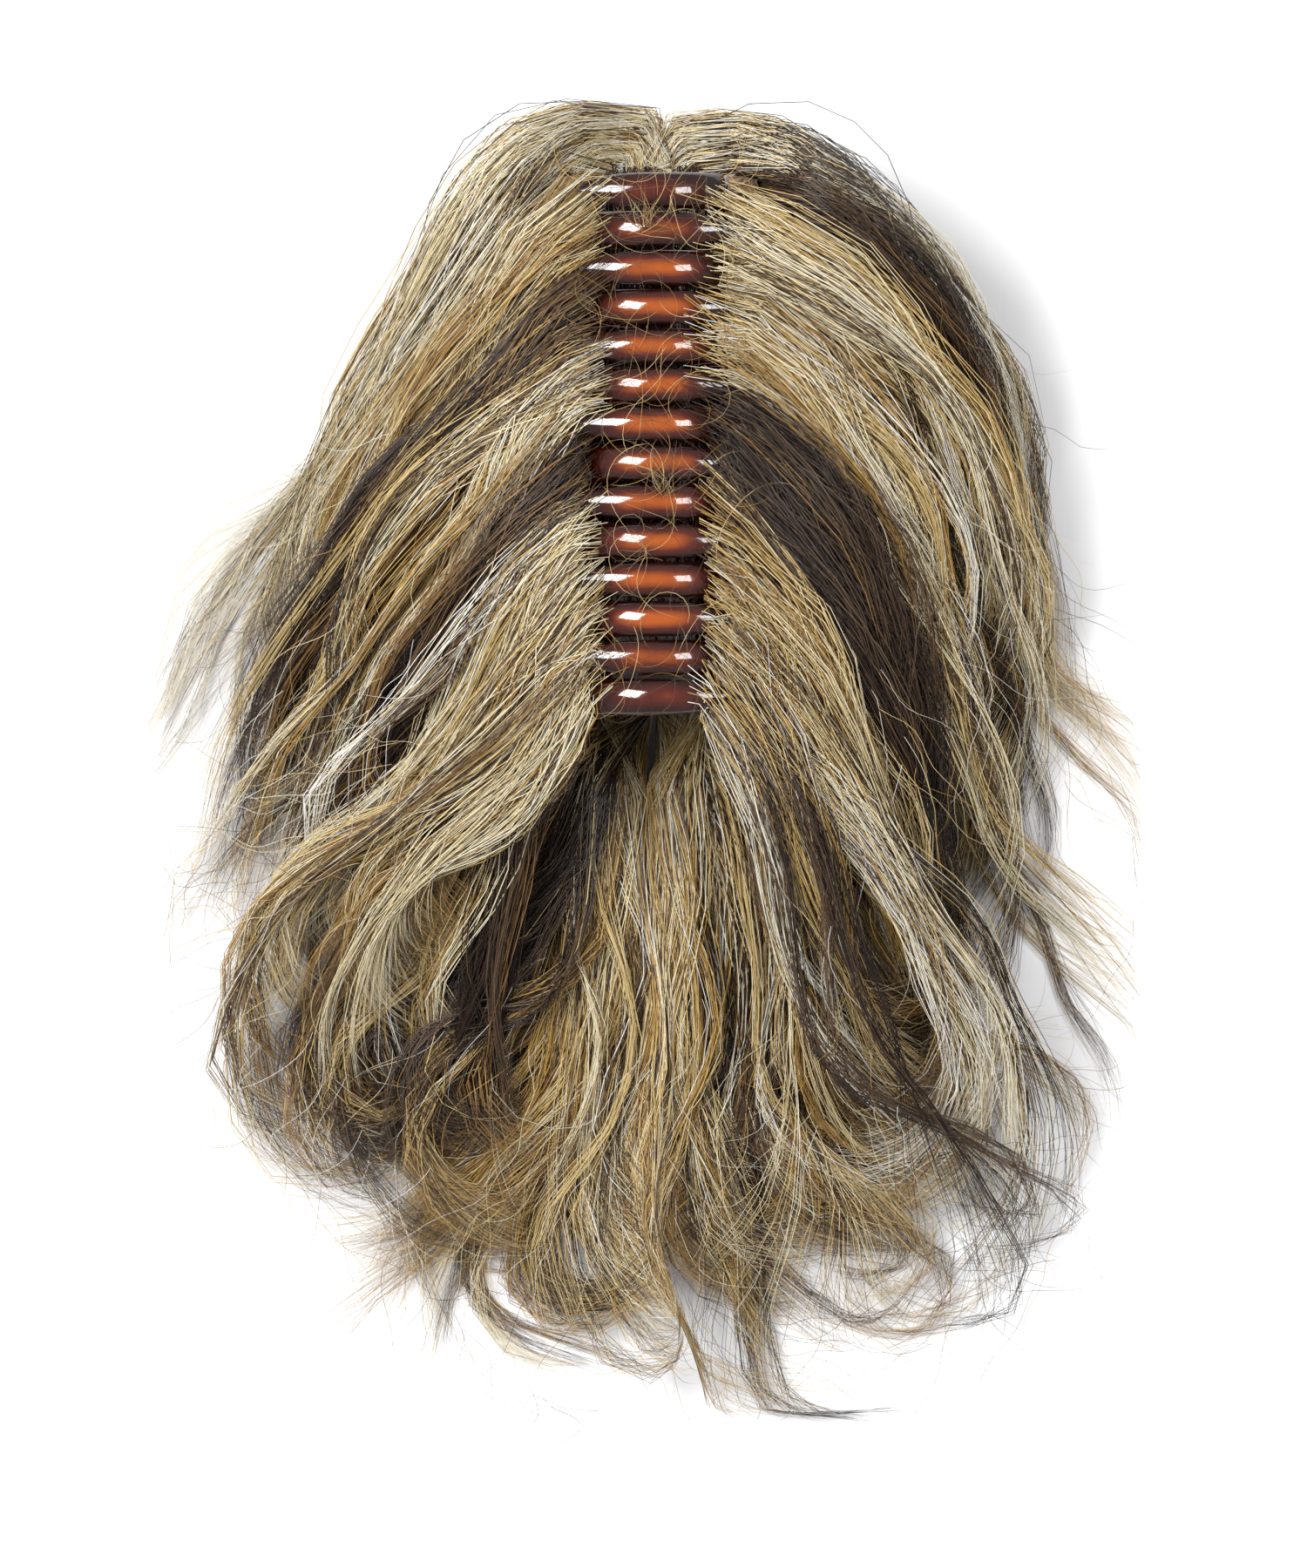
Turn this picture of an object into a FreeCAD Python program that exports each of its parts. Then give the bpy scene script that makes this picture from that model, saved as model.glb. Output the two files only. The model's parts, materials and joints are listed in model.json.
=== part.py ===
"""Claw clip ponytail hairpiece: a sprung two-jaw claw clip with hair locks sewn on both jaws.

Row frame, millimetres: the piece lies on its thumb levers and hair tips at Z = 0, the clip's long axis
runs along Y, the teeth point up. The left half (-X) carries the pin and the spring, the right half turns.
"""
import FreeCAD, Part
import math
import os
import Sketcher
from FreeCAD import Placement, Rotation, Vector

LEFT = -1
RIGHT = 1
SIDE_NAMES = {LEFT: "left", RIGHT: "right"}
START = 1  # a sketch line's first point
CENTRE = 3  # a sketch circle's or arc's centre
CAVITY_MIDDLE = ("0", "Sizes.cavity_rise")
ORIGIN = (-1, 1)  # the sketch's own origin, as geometry and point

SIZES = {
    # clip
    "clip_length": 92.0,
    "clip_centre": 52.8,
    "pin_height": 14.0,
    "cavity_rise": 17.5,
    "cavity_radius": 14.0,
    "wall": 2.4,
    "plate_top": 45.0,
    "plate_bottom": 60.0,
    "corner_radius": 6.0,
    # teeth
    "tooth_pitch": 13.0,
    "tooth_count": 7,
    "tooth_stagger": 3.25,
    # levers and hinge
    "lever_width": 30.0,
    "lever_reach": 16.4,
    "lever_drop": 13.2,
    "lever_wall_reach": 17.9,
    "lever_wall_drop": 11.2,
    "bead_radius": 1.5,
    "web_reach": 3.9,
    "web_drop": 2.6,
    "web_back_reach": 7.02,
    "web_back_rise": 0.6,
    "web_overlap": 2.0,
    "web_bulge": 6.0,
    "knuckle_radius": 3.2,
    "knuckle_outer_width": 4.2,
    "knuckle_inner_width": 5.0,
    "knuckle_inner_start": 5.5,
    "knuckle_neck": 5.0,
    "knuckle_play": 0.3,
    "pin_radius": 1.0,
    "pin_play": 0.15,
    "pin_end_play": 0.1,
    "pin_head_radius": 1.7,
    "pin_head_length": 0.8,
    # spring
    "spring_wire_radius": 0.4,
    "spring_radius": 1.75,
    "spring_pitch": 0.92,
    "spring_turns": 9,
    "spring_leg": 10.0,
    "spring_leg_slope": 30.0,
    # wefts and thread
    "weft_face": 17.4,
    "weft_length": 90.0,
    "upper_weft_low": 14.0,
    "upper_weft_high": 44.0,
    "lower_weft_low": 32.0,
    "lower_weft_high": 10.0,
    "end_weft_depth": 2.5,
    "end_weft_gap": 0.6,
    "end_weft_inner_rise": 1.3,
    "end_weft_start": 10.0,
    "end_weft_bulge": 48.0,
    "end_weft_shoulder_reach": 12.5,
    "end_weft_shoulder_rise": 1.8,
    "end_weft_face_rise": 9.0,
    "thread_radius": 0.35,
    "thread_pitch": 6.5,
    "thread_count": 13,
    # hair
    "hair_gap": 0.35,
    "hair_crest": 44.5,
    "hair_tip": 3.5,
    "hair_least": 1.5,
    "upper_depth": 7.5,
    "end_depth": 11.0,
    "under_root_top": 34.0,
    "under_root_low": 25.0,
    "under_end": 0.86,
    "under_fall": 2.2,
    "under_fall_power": 1.2,
    "under_least": 0.4,
    "layer_gap": 1.3,
    "wedge_slope": 1.25,
    "wedge_margin": 1.0,
    "shoulder_inset": 1.0,
    "shoulder_slope": 1.5,
    "taper_start": 0.62,
    "taper_power": 1.5,
    "tip_width": 0.22,
    "edge_drop": 0.22,
}

# tooth stations along its middle line: reach past the middle, height above the pin, slope, width, depth
TOOTH = [
    (-11.3, 28.8, 45, 6.1, 2.2),
    (-7.4, 31.7, 30, 6.1, 2.9),
    (-2.6, 33.35, 11, 6.0, 3.3),
    (2.4, 33.75, -2, 5.8, 3.1),
    (7.4, 33.2, -10, 5.0, 2.6),
    (12.1, 32.1, -16, 3.2, 1.8),
]

# partings between the hair locks of one half, from the crown round the side to the bottom, for the left half
# and the right half: root reach and height up the clip, launch direction, tip reach and place, tip direction
PARTINGS = {
    LEFT: {
        "crown": [
            (0.4, 101.3, 100, 1.0, 72.0, 0.0, 268),
            (17.4, 101.3, 223, 0.7, 73.5, -12.0, 252),
        ],
        "side": [
            (17.4, 97.6, 222, 0.7, 77.7, -27.0, 249),
            (17.4, 84.0, 211, 0.7, 79.5, -40.5, 245),
            (17.4, 69.0, 211, 0.7, 80.5, -52.0, 243),
            (17.4, 54.0, 211, 0.7, 78.5, -63.0, 246),
            (17.4, 39.0, 213, 0.7, 72.5, -73.0, 249),
            (17.4, 24.0, 218, 0.7, 65.0, -80.0, 253),
            (17.4, 8.4, 230, 0.7, 55.5, -87.0, 257),
        ],
        "bottom": [
            (17.4, 4.3, 238, 0.7, 52.0, -89.0, 258),
            (11.0, 4.3, 250, 0.7, 39.0, -99.0, 262),
            (5.5, 4.3, 260, 0.7, 26.0, -107.0, 265),
            (0.4, 4.3, 269, 0.7, 12.0, -113.0, 268),
        ],
    },
    RIGHT: {
        "crown": [
            (0.4, 101.3, 100, 1.0, 74.0, -4.0, 267),
            (17.4, 101.3, 223, 0.7, 75.5, -16.0, 253),
        ],
        "side": [
            (17.4, 97.6, 222, 0.7, 79.5, -31.0, 249),
            (17.4, 84.0, 211, 0.7, 81.0, -43.5, 245),
            (17.4, 69.0, 211, 0.7, 81.0, -55.0, 244),
            (17.4, 54.0, 211, 0.7, 78.0, -65.5, 247),
            (17.4, 39.0, 213, 0.7, 72.0, -75.0, 250),
            (17.4, 24.0, 218, 0.7, 64.5, -82.0, 253),
            (17.4, 8.4, 230, 0.7, 55.0, -89.0, 257),
        ],
        "bottom": [
            (17.4, 4.3, 238, 0.7, 51.5, -91.0, 258),
            (11.0, 4.3, 250, 0.7, 38.5, -100.0, 262),
            (5.5, 4.3, 260, 0.7, 25.5, -107.0, 265),
            (0.4, 4.3, 269, 0.7, 12.0, -113.0, 268),
        ],
    },
}
PARTING_WORDS = ("root_reach", "root_place", "launch", "pull", "tip_reach", "tip_place", "arrival")
SECTIONS = 9  # cross-sections along each lock
UNDER_SPAN = 2  # side locks above each under lock
FINE_STEPS = 200  # points tried along a parting when the nearest is looked for
TIP_PULL = 0.9  # how strongly a parting keeps its tip direction, as a share of its straight length
FULL_TURN = 360  # degrees


def size(alias):
    """The sheet's value for one alias, in mm or as a plain number."""
    return float(sheet.get(alias))


def worked_out(text):
    """A sheet expression's present value."""
    return float(sheet.evalExpression(text))


def all_sizes():
    """Every driving number by name: the plain sizes and the tooth stations."""
    named = dict(SIZES)
    for number, station in enumerate(TOOTH):
        for word, value in zip(("reach", "height", "slope", "width", "depth"), station):
            named[f"tooth_{number}_{word}"] = value
    for side, families in PARTINGS.items():
        for family, lines in families.items():
            for number, line in enumerate(lines):
                for word, value in zip(PARTING_WORDS, line):
                    named[f"{SIDE_NAMES[side]}_{family}_{number}_{word}"] = value
    return named


def make_sheet(values):
    """The spreadsheet with one named plain number to a row."""
    made = doc.addObject("Spreadsheet::Sheet", "Sizes")
    for row, (alias, value) in enumerate(values.items(), start=1):
        made.set(f"A{row}", alias)
        made.set(f"B{row}", str(value))
        made.setAlias(f"B{row}", alias)
    doc.recompute()
    return made


def new_body(label, height="pin_height", along="clip_centre"):
    """A body that stands at the pin's middle."""
    body = doc.addObject("PartDesign::Body", label)
    body.Label = label
    body.setExpression("Placement.Base.y", f"Sizes.{along}")
    body.setExpression("Placement.Base.z", f"Sizes.{height}")
    return body


def plane(body, role):
    """One of a body's own origin planes or axes."""
    return next(item for item in body.Origin.OriginFeatures if item.Role == role)


def new_sketch(body, name, role="XZ_Plane"):
    """An empty sketch on one of the body's origin planes."""
    sketch = body.newObject("Sketcher::SketchObject", name)
    sketch.AttachmentSupport = [(plane(body, role), "")]
    sketch.MapMode = "FlatFace"
    return sketch


def bind(sketch, constraint, text):
    """Add a constraint whose value follows a sheet expression."""
    index = sketch.addConstraint(constraint)
    sketch.setExpression(f"Constraints[{index}]", text)


def outline(sketch, points, arcs):
    """A closed outline through points given as pairs of sheet expressions.

    arcs maps the number of each round side to a point on it and its centre.
    """
    places = [Vector(worked_out(x), worked_out(y), 0) for x, y in points]
    for index, place in enumerate(places):
        following = places[(index + 1) % len(places)]
        if index in arcs:
            through = Vector(*[worked_out(text) for text in arcs[index][0]], 0)
            sketch.addGeometry(Part.Arc(place, through, following))
        else:
            sketch.addGeometry(Part.LineSegment(place, following))
    for index, (x, y) in enumerate(points):
        start = first_end(sketch, index, places[index])
        bind(sketch, Sketcher.Constraint("DistanceX", *ORIGIN, index, start, places[index].x), x)
        bind(sketch, Sketcher.Constraint("DistanceY", *ORIGIN, index, start, places[index].y), y)
        before = (index - 1) % len(points)
        end = first_end(sketch, before, places[index])
        sketch.addConstraint(Sketcher.Constraint("Coincident", before, end, index, start))
    for index, (_, centre) in arcs.items():
        chord = places[(index + 1) % len(places)] - places[index]
        across = "DistanceY" if abs(chord.x) > abs(chord.y) else "DistanceX"
        text = centre[1] if across == "DistanceY" else centre[0]
        bind(sketch, Sketcher.Constraint(across, *ORIGIN, index, CENTRE, worked_out(text)), text)


def first_end(sketch, index, place):
    """Which end of a sketch side lies at a place: 1 for its start, 2 for its end."""
    near = sketch.getPoint(index, START).distanceToPoint(place) < 1e-6
    return START if near else START + 1


def pad(body, sketch, name, length):
    """A pad both ways from the sketch, its whole length bound to the sheet."""
    made = body.newObject("PartDesign::Pad", name)
    made.Profile = sketch
    made.Midplane = True
    made.setExpression("Length", length)
    return made


def around_cavity(side, radius, angle):
    """A point on a circle about the grip cavity's middle; angle in degrees above the level, on one side."""
    return (
        f"{side} * ({radius}) * cos({angle})",
        f"Sizes.cavity_rise + ({radius}) * sin({angle})",
    )


def jaw_plate(body, side):
    """The jaw's curved wall, a sector about the grip cavity, with rounded ends."""
    inner = "Sizes.cavity_radius"
    outer = "Sizes.cavity_radius + Sizes.wall"
    top = "Sizes.plate_top"
    low = "-Sizes.plate_bottom"
    half_way = f"({top} + {low}) / 2"
    sketch = new_sketch(body, "plate_outline")
    outline(
        sketch,
        [
            around_cavity(side, inner, low),
            around_cavity(side, inner, top),
            around_cavity(side, outer, top),
            around_cavity(side, outer, low),
        ],
        {
            0: (around_cavity(side, inner, half_way), CAVITY_MIDDLE),
            2: (around_cavity(side, outer, half_way), CAVITY_MIDDLE),
        },
    )
    plate = pad(body, sketch, "plate", "Sizes.clip_length")
    doc.recompute()
    corners = [
        f"Edge{number}"
        for number, edge in enumerate(plate.Shape.Edges, start=1)
        if abs(edge.Length - size("wall")) < 1e-3 and edge.BoundBox.YLength < 1e-3
    ]
    rounded = body.newObject("PartDesign::Fillet", "plate_corners")
    rounded.Base = (plate, corners)
    rounded.setExpression("Radius", "Sizes.corner_radius")
    return rounded


def tooth_station(body, side, number):
    """One oval cross-section of a tooth, square to the tooth's middle line."""
    stem = f"Sizes.tooth_{number}"
    first = f"{side} * Sizes.tooth_stagger - Sizes.tooth_pitch * (Sizes.tooth_count - 1) / 2"
    sketch = new_sketch(body, f"tooth_station_{number}", "YZ_Plane")
    sketch.AttachmentOffset = Placement(Vector(), Rotation(Vector(side, 0, 0), size(f"tooth_{number}_slope")))
    sketch.setExpression("AttachmentOffset.Base.x", first)
    sketch.setExpression("AttachmentOffset.Base.y", f"{stem}_height")
    sketch.setExpression("AttachmentOffset.Base.z", f"{-side} * {stem}_reach")
    width = size(f"tooth_{number}_width")
    depth = size(f"tooth_{number}_depth")
    oval = sketch.addGeometry(Part.Ellipse(Vector(0, 0, 0), width / 2, depth / 2))
    sketch.exposeInternalGeometry(oval)
    long_axis = oval + 1
    short_axis = oval + 2
    sketch.addConstraint(Sketcher.Constraint("Coincident", oval, CENTRE, *ORIGIN))
    sketch.addConstraint(Sketcher.Constraint("Horizontal", long_axis))
    bind(sketch, Sketcher.Constraint("Distance", long_axis, width), f"{stem}_width")
    bind(sketch, Sketcher.Constraint("Distance", short_axis, depth), f"{stem}_depth")
    return sketch


def teeth(body, side):
    """A row of curved teeth lofted through oval stations; they reach across over the other jaw's wall."""
    stations = [tooth_station(body, side, number) for number in range(len(TOOTH))]
    tooth = body.newObject("PartDesign::AdditiveLoft", "tooth")
    tooth.Profile = stations[0]
    tooth.Sections = stations[1:]
    row = body.newObject("PartDesign::LinearPattern", "tooth_row")
    row.Originals = [tooth]
    row.Direction = (plane(body, "Y_Axis"), [""])
    row.Mode = "Spacing"
    row.setExpression("Offset", "Sizes.tooth_pitch")
    row.setExpression("Occurrences", "Sizes.tooth_count")
    body.Tip = row


def web_and_lever(body, side):
    """The web from the jaw's wall to the hinge, and the thumb lever, which ends in a round bead."""
    inner = "Sizes.cavity_radius"
    outer = "Sizes.cavity_radius + Sizes.wall"
    sketch = new_sketch(body, "web_outline")
    inner_end = (
        f"{side} * Sizes.web_reach",
        "Sizes.cavity_rise - sqrt(Sizes.cavity_radius ^ 2 - Sizes.web_reach ^ 2)",
    )
    outline(
        sketch,
        [
            around_cavity(side, inner, "Sizes.web_overlap - Sizes.plate_bottom"),
            inner_end,
            (f"{side} * Sizes.web_reach", "-Sizes.web_drop"),
            (f"{side} * Sizes.lever_reach", "-Sizes.lever_drop"),
            (f"{side} * Sizes.lever_wall_reach", "-Sizes.lever_wall_drop"),
            (f"{side} * Sizes.web_back_reach", "Sizes.web_back_rise"),
            around_cavity(side, outer, "-Sizes.plate_bottom - Sizes.web_overlap"),
            around_cavity(side, outer, "Sizes.web_overlap - Sizes.plate_bottom"),
        ],
        {0: (around_cavity(side, inner, "-Sizes.plate_bottom - Sizes.web_bulge"), CAVITY_MIDDLE)},
    )
    pad(body, sketch, "web", "Sizes.lever_width")
    bead = new_sketch(body, "bead_outline")
    reach = f"{side} * (Sizes.lever_reach + Sizes.lever_wall_reach) / 2"
    add_circle(bead, reach, "Sizes.bead_radius - Sizes.pin_height", "Sizes.bead_radius")
    pad(body, bead, "bead", "Sizes.lever_width")


def add_circle(sketch, x, y, radius):
    """A circle whose place and radius follow sheet expressions."""
    middle = Vector(worked_out(x), worked_out(y), 0)
    circle = sketch.addGeometry(Part.Circle(middle, Vector(0, 0, 1), worked_out(radius)))
    bind(sketch, Sketcher.Constraint("DistanceX", *ORIGIN, circle, CENTRE, middle.x), x)
    bind(sketch, Sketcher.Constraint("DistanceY", *ORIGIN, circle, CENTRE, middle.y), y)
    bind(sketch, Sketcher.Constraint("Radius", circle, worked_out(radius)), radius)


def knuckles(body, side, start, width):
    """Two hinge knuckles, one each side of the spring, with their necks into the web."""
    sketch = new_sketch(body, "knuckle_outline")
    sketch.setExpression("AttachmentOffset.Base.z", f"-({start})")
    radius = "Sizes.knuckle_radius"
    neck = f"{side} * Sizes.knuckle_neck"
    outline(
        sketch,
        [("0", radius), (neck, radius), (neck, f"-{radius}"), ("0", f"-{radius}")],
        {3: ((f"{-side} * {radius}", "0"), ("0", "0"))},
    )
    knuckle = body.newObject("PartDesign::Pad", "knuckle")
    knuckle.Profile = sketch
    knuckle.Reversed = True
    knuckle.setExpression("Length", width)
    pair = body.newObject("PartDesign::Mirrored", "knuckle_pair")
    pair.Originals = [knuckle]
    pair.MirrorPlane = (plane(body, "XZ_Plane"), [""])
    body.Tip = pair


def pin_bore(body, radius):
    """The bore through both knuckles."""
    sketch = new_sketch(body, "bore_outline")
    add_circle(sketch, "0", "0", radius)
    bore = body.newObject("PartDesign::Pocket", "bore")
    bore.Profile = sketch
    bore.Midplane = True
    bore.setExpression("Length", "Sizes.lever_width * 2")


def make_jaw(side):
    """One jaw of the clip: wall, teeth, web, lever and knuckles."""
    body = new_body(f"jaw_{SIDE_NAMES[side]}")
    jaw_plate(body, side)
    teeth(body, side)
    web_and_lever(body, side)
    if side == LEFT:
        start = "Sizes.knuckle_inner_start + Sizes.knuckle_inner_width + Sizes.knuckle_play"
        knuckles(body, side, start, "Sizes.knuckle_outer_width")
        pin_bore(body, "Sizes.pin_radius")
    else:
        knuckles(body, side, "Sizes.knuckle_inner_start", "Sizes.knuckle_inner_width")
        pin_bore(body, "Sizes.pin_radius + Sizes.pin_play")
    return body


def make_pin():
    """The hinge pin, turned in one piece with a peened head at each end."""
    body = new_body("hinge_pin")
    sketch = new_sketch(body, "pin_profile", "YZ_Plane")
    radius = "Sizes.pin_radius"
    head = "Sizes.pin_head_radius"
    shank = "(Sizes.lever_width / 2 + Sizes.pin_end_play)"
    end = f"({shank} + Sizes.pin_head_length)"
    outline(
        sketch,
        [
            (f"-{end}", "0"),
            (f"-{end}", head),
            (f"-{shank}", head),
            (f"-{shank}", radius),
            (shank, radius),
            (shank, head),
            (end, head),
            (end, "0"),
        ],
        {},
    )
    turned = body.newObject("PartDesign::Revolution", "turned")
    turned.Profile = sketch
    turned.ReferenceAxis = (sketch, ["H_Axis"])
    turned.Angle = FULL_TURN
    return body


def shape_feature(label, shape):
    """A free-form piece placed at the pin's middle."""
    feature = doc.addObject("Part::Feature", label)
    feature.Label = label
    feature.Shape = shape
    feature.setExpression("Placement.Base.y", "Sizes.clip_centre")
    feature.setExpression("Placement.Base.z", "Sizes.pin_height")
    return feature


def make_spring():
    """The torsion spring: a close coil round the pin, its two legs pressing the levers apart."""
    wire = size("spring_wire_radius")
    radius = size("spring_radius")
    slope = size("spring_leg_slope")
    turns = size("spring_turns") + (FULL_TURN - 2 * slope) / FULL_TURN
    length = turns * size("spring_pitch")
    coil = Part.makeHelix(size("spring_pitch"), length, radius, 0, True)
    coil.rotate(Vector(), Vector(0, 0, 1), -90 - slope)
    coil.rotate(Vector(), Vector(1, 0, 0), 90)
    coil.translate(Vector(0, length / 2, 0))
    edges = coil.Edges
    first = edges[0]
    last = edges[-1]
    start = first.valueAt(first.FirstParameter)
    start_way = first.tangentAt(first.FirstParameter)
    end = last.valueAt(last.LastParameter)
    end_way = last.tangentAt(last.LastParameter)
    leg = size("spring_leg")
    path = Part.Wire(
        [Part.makeLine(start - start_way * leg, start)] + edges + [Part.makeLine(end, end + end_way * leg)]
    )
    section = Part.Wire(Part.makeCircle(wire, start - start_way * leg, start_way))
    return shape_feature("torsion_spring", path.makePipeShell([section], True, True))


def make_side_weft(side, level, low, high):
    """A weft strip sewn along the outside of a jaw: round against the wall, flat where the hair leaves it."""
    body = new_body(f"{level}_weft_{SIDE_NAMES[side]}")
    wall = "(Sizes.cavity_radius + Sizes.wall)"
    face = f"{side} * Sizes.weft_face"
    sketch = new_sketch(body, "weft_outline")
    outline(
        sketch,
        [
            around_cavity(side, wall, low),
            (face, f"Sizes.cavity_rise + {wall} * sin({low})"),
            (face, f"Sizes.cavity_rise + {wall} * sin({high})"),
            around_cavity(side, wall, high),
        ],
        {3: (around_cavity(side, wall, f"(({low}) + ({high})) / 2"), CAVITY_MIDDLE)},
    )
    pad(body, sketch, "strip", "Sizes.weft_length")
    return body


def make_end_weft(side, end, direction):
    """The crescent of weft sewn on one end of a jaw, under the way through the jaws."""
    body = new_body(f"{end}_weft_{SIDE_NAMES[side]}")
    clear = "(Sizes.cavity_radius + Sizes.end_weft_gap)"
    face = f"{side} * Sizes.weft_face"
    near = "Sizes.end_weft_gap"
    sketch = new_sketch(body, "crescent_outline")
    middle = f"(({direction}) * (Sizes.clip_length + Sizes.end_weft_depth) / 2)"
    sketch.setExpression("AttachmentOffset.Base.z", f"-{middle}")
    outline(
        sketch,
        [
            around_cavity(side, clear, "-Sizes.end_weft_start"),
            (f"{side} * {near}", f"Sizes.cavity_rise - sqrt({clear} ^ 2 - {near} ^ 2)"),
            (f"{side} * {near}", "Sizes.end_weft_inner_rise"),
            (f"{side} * Sizes.knuckle_neck", "-Sizes.knuckle_radius"),
            (f"{side} * Sizes.end_weft_shoulder_reach", "Sizes.end_weft_shoulder_rise"),
            (face, "Sizes.end_weft_face_rise"),
            (face, f"Sizes.cavity_rise - {clear} * sin(Sizes.end_weft_start)"),
        ],
        {0: (around_cavity(side, clear, "-Sizes.end_weft_bulge"), CAVITY_MIDDLE)},
    )
    pad(body, sketch, "crescent", "Sizes.end_weft_depth")
    return body


def make_stitching(side):
    """The sewing thread over the upper weft's top edge, one short stitch at each gap between teeth."""
    wall = size("cavity_radius") + size("wall")
    high = math.radians(size("upper_weft_high"))
    thread = size("thread_radius")
    height = size("cavity_rise") + wall * math.sin(high) + thread
    inner = wall * math.cos(high)
    length = size("weft_face") - inner
    first = -size("thread_pitch") * (size("thread_count") - 1) / 2
    stitches = [
        Part.makeCylinder(
            thread,
            length,
            Vector(side * inner, first + size("thread_pitch") * number, height),
            Vector(side, 0, 0),
        )
        for number in range(int(size("thread_count")))
    ]
    return shape_feature(f"stitching_{SIDE_NAMES[side]}", Part.makeCompound(stitches))


def parting(side, family, number):
    """One parting as its seven numbers, read from the sheet."""
    stem = f"{SIDE_NAMES[side]}_{family}_{number}"
    return [size(f"{stem}_{word}") for word in PARTING_WORDS]


def parting_point(side, line, share):
    """The plan point a given share along a parting: a smooth curve with set directions at both ends."""
    root_reach, root_place, launch, pull, tip_reach, tip_place, arrival = line
    root = Vector(-root_reach, root_place, 0)
    tip = Vector(-tip_reach, tip_place, 0)
    span = root.distanceToPoint(tip)
    leave = heading(launch) * span * pull
    arrive = heading(arrival) * span * TIP_PULL
    square = share * share
    cube = square * share
    point = (
        root * (2 * cube - 3 * square + 1)
        + leave * (cube - 2 * square + share)
        + tip * (3 * square - 2 * cube)
        + arrive * (cube - square)
    )
    return Vector(-side * point.x, point.y, 0)


def heading(degrees):
    """The unit plan vector for a direction in degrees, anticlockwise from +X, as seen on the left half."""
    return Vector(math.cos(math.radians(degrees)), math.sin(math.radians(degrees)), 0)


def crest(point, share):
    """Height of the hair's outer surface: a dome, kept under the way through the jaws near the middle."""
    dome = size("hair_tip") + (size("hair_crest") - size("hair_tip")) * math.cos(share * math.pi / 2)
    clear = size("cavity_radius") + size("end_weft_gap")
    middle = size("pin_height") + size("cavity_rise")
    reach = abs(point.x)
    shoulder = clear - size("shoulder_inset")
    if reach < shoulder:
        return min(dome, middle - math.sqrt(clear**2 - reach**2))
    edge = middle - math.sqrt(clear**2 - shoulder**2)
    return min(dome, edge + size("shoulder_slope") * (reach - shoulder))


def lowest(point):
    """The lowest a half's hair may reach, so that the halves pass each other under the pin as they open."""
    wedge = size("pin_height") + size("wedge_margin") - size("wedge_slope") * abs(point.x)
    return max(0.0, wedge)


def lock_section(first, second, top, low, share):
    """A five-cornered upright section between two partings, narrowing towards the tip."""
    across = second - first
    width = across.Length - 2 * size("hair_gap")
    taper = (share - size("taper_start")) / (1 - size("taper_start"))
    width *= 1 - (1 - size("tip_width")) * max(0.0, taper) ** size("taper_power")
    middle = (first + second) * 0.5
    half = across.normalize() * (width / 2)
    drop = size("edge_drop") * (top - low)
    corners = [
        middle - half + Vector(0, 0, low),
        middle - half + Vector(0, 0, top - drop),
        middle + Vector(0, 0, top),
        middle + half + Vector(0, 0, top - drop),
        middle + half + Vector(0, 0, low),
    ]
    return Part.makePolygon(corners + corners[:1])


def nearest_point(side, line, other):
    """The parting's plan point nearest another point, among evenly spaced ones."""
    points = [parting_point(side, line, step / FINE_STEPS) for step in range(FINE_STEPS + 1)]
    return min(points, key=other.distanceToPoint)


def lock_solid(side, first, second, heights, end, nearest):
    """A hair lock between two partings, in ruled slices from one cross-section to the next.

    heights gives its top and low edge at a share of its length. nearest pairs each point with the
    second parting's nearest one, for a second parting that starts far short of the first.
    """
    wires = []
    for number in range(SECTIONS):
        share = end * number / (SECTIONS - 1)
        one = parting_point(side, first, share)
        two = nearest_point(side, second, one) if nearest else parting_point(side, second, share)
        top, low = heights(one, two, share)
        wires.append(lock_section(one, two, top, low, share))
    slices = [Part.makeLoft([near, far], True, True) for near, far in zip(wires, wires[1:])]
    return slices[0].multiFuse(slices[1:]).Solids[0]


def upper_heights(one, two, share):
    """The outer layer's top and low edge beside the clip."""
    top = crest((one + two) * 0.5, share)
    depth = size("upper_depth") * (1 - share) + size("hair_tip") * share
    return top, max(0.0, top - depth)


def end_heights(one, two, share):
    """The same for the hair off the clip's ends, which runs under the way through the jaws."""
    top = min(crest(one, share), crest(two, share))
    depth = size("end_depth") * (1 - share) + size("hair_tip") * share
    low = max(lowest(one), lowest(two), top - depth)
    return max(top, low + size("hair_least")), low


def under_heights(one, two, share):
    """The under layer fills down to the table, from the lower weft outwards."""
    above = upper_heights(one, two, share)[1]
    least = size("under_least")
    top = max(min(above - size("layer_gap"), size("under_root_top")), least)
    fallen = min(1.0, share / size("under_end") * size("under_fall"))
    low = size("under_root_low") * (1 - fallen) ** size("under_fall_power")
    return top, min(low, top - least) if top > 2 * least else 0.0


def make_lock(label, side, first, second, heights, end=1.0, nearest=False):
    """One lock of hair as a document object; its points are already in the row frame."""
    feature = doc.addObject("Part::Feature", label)
    feature.Label = label
    feature.Shape = lock_solid(side, first, second, heights, end, nearest)
    feature.Placement = Placement()
    return feature


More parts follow.
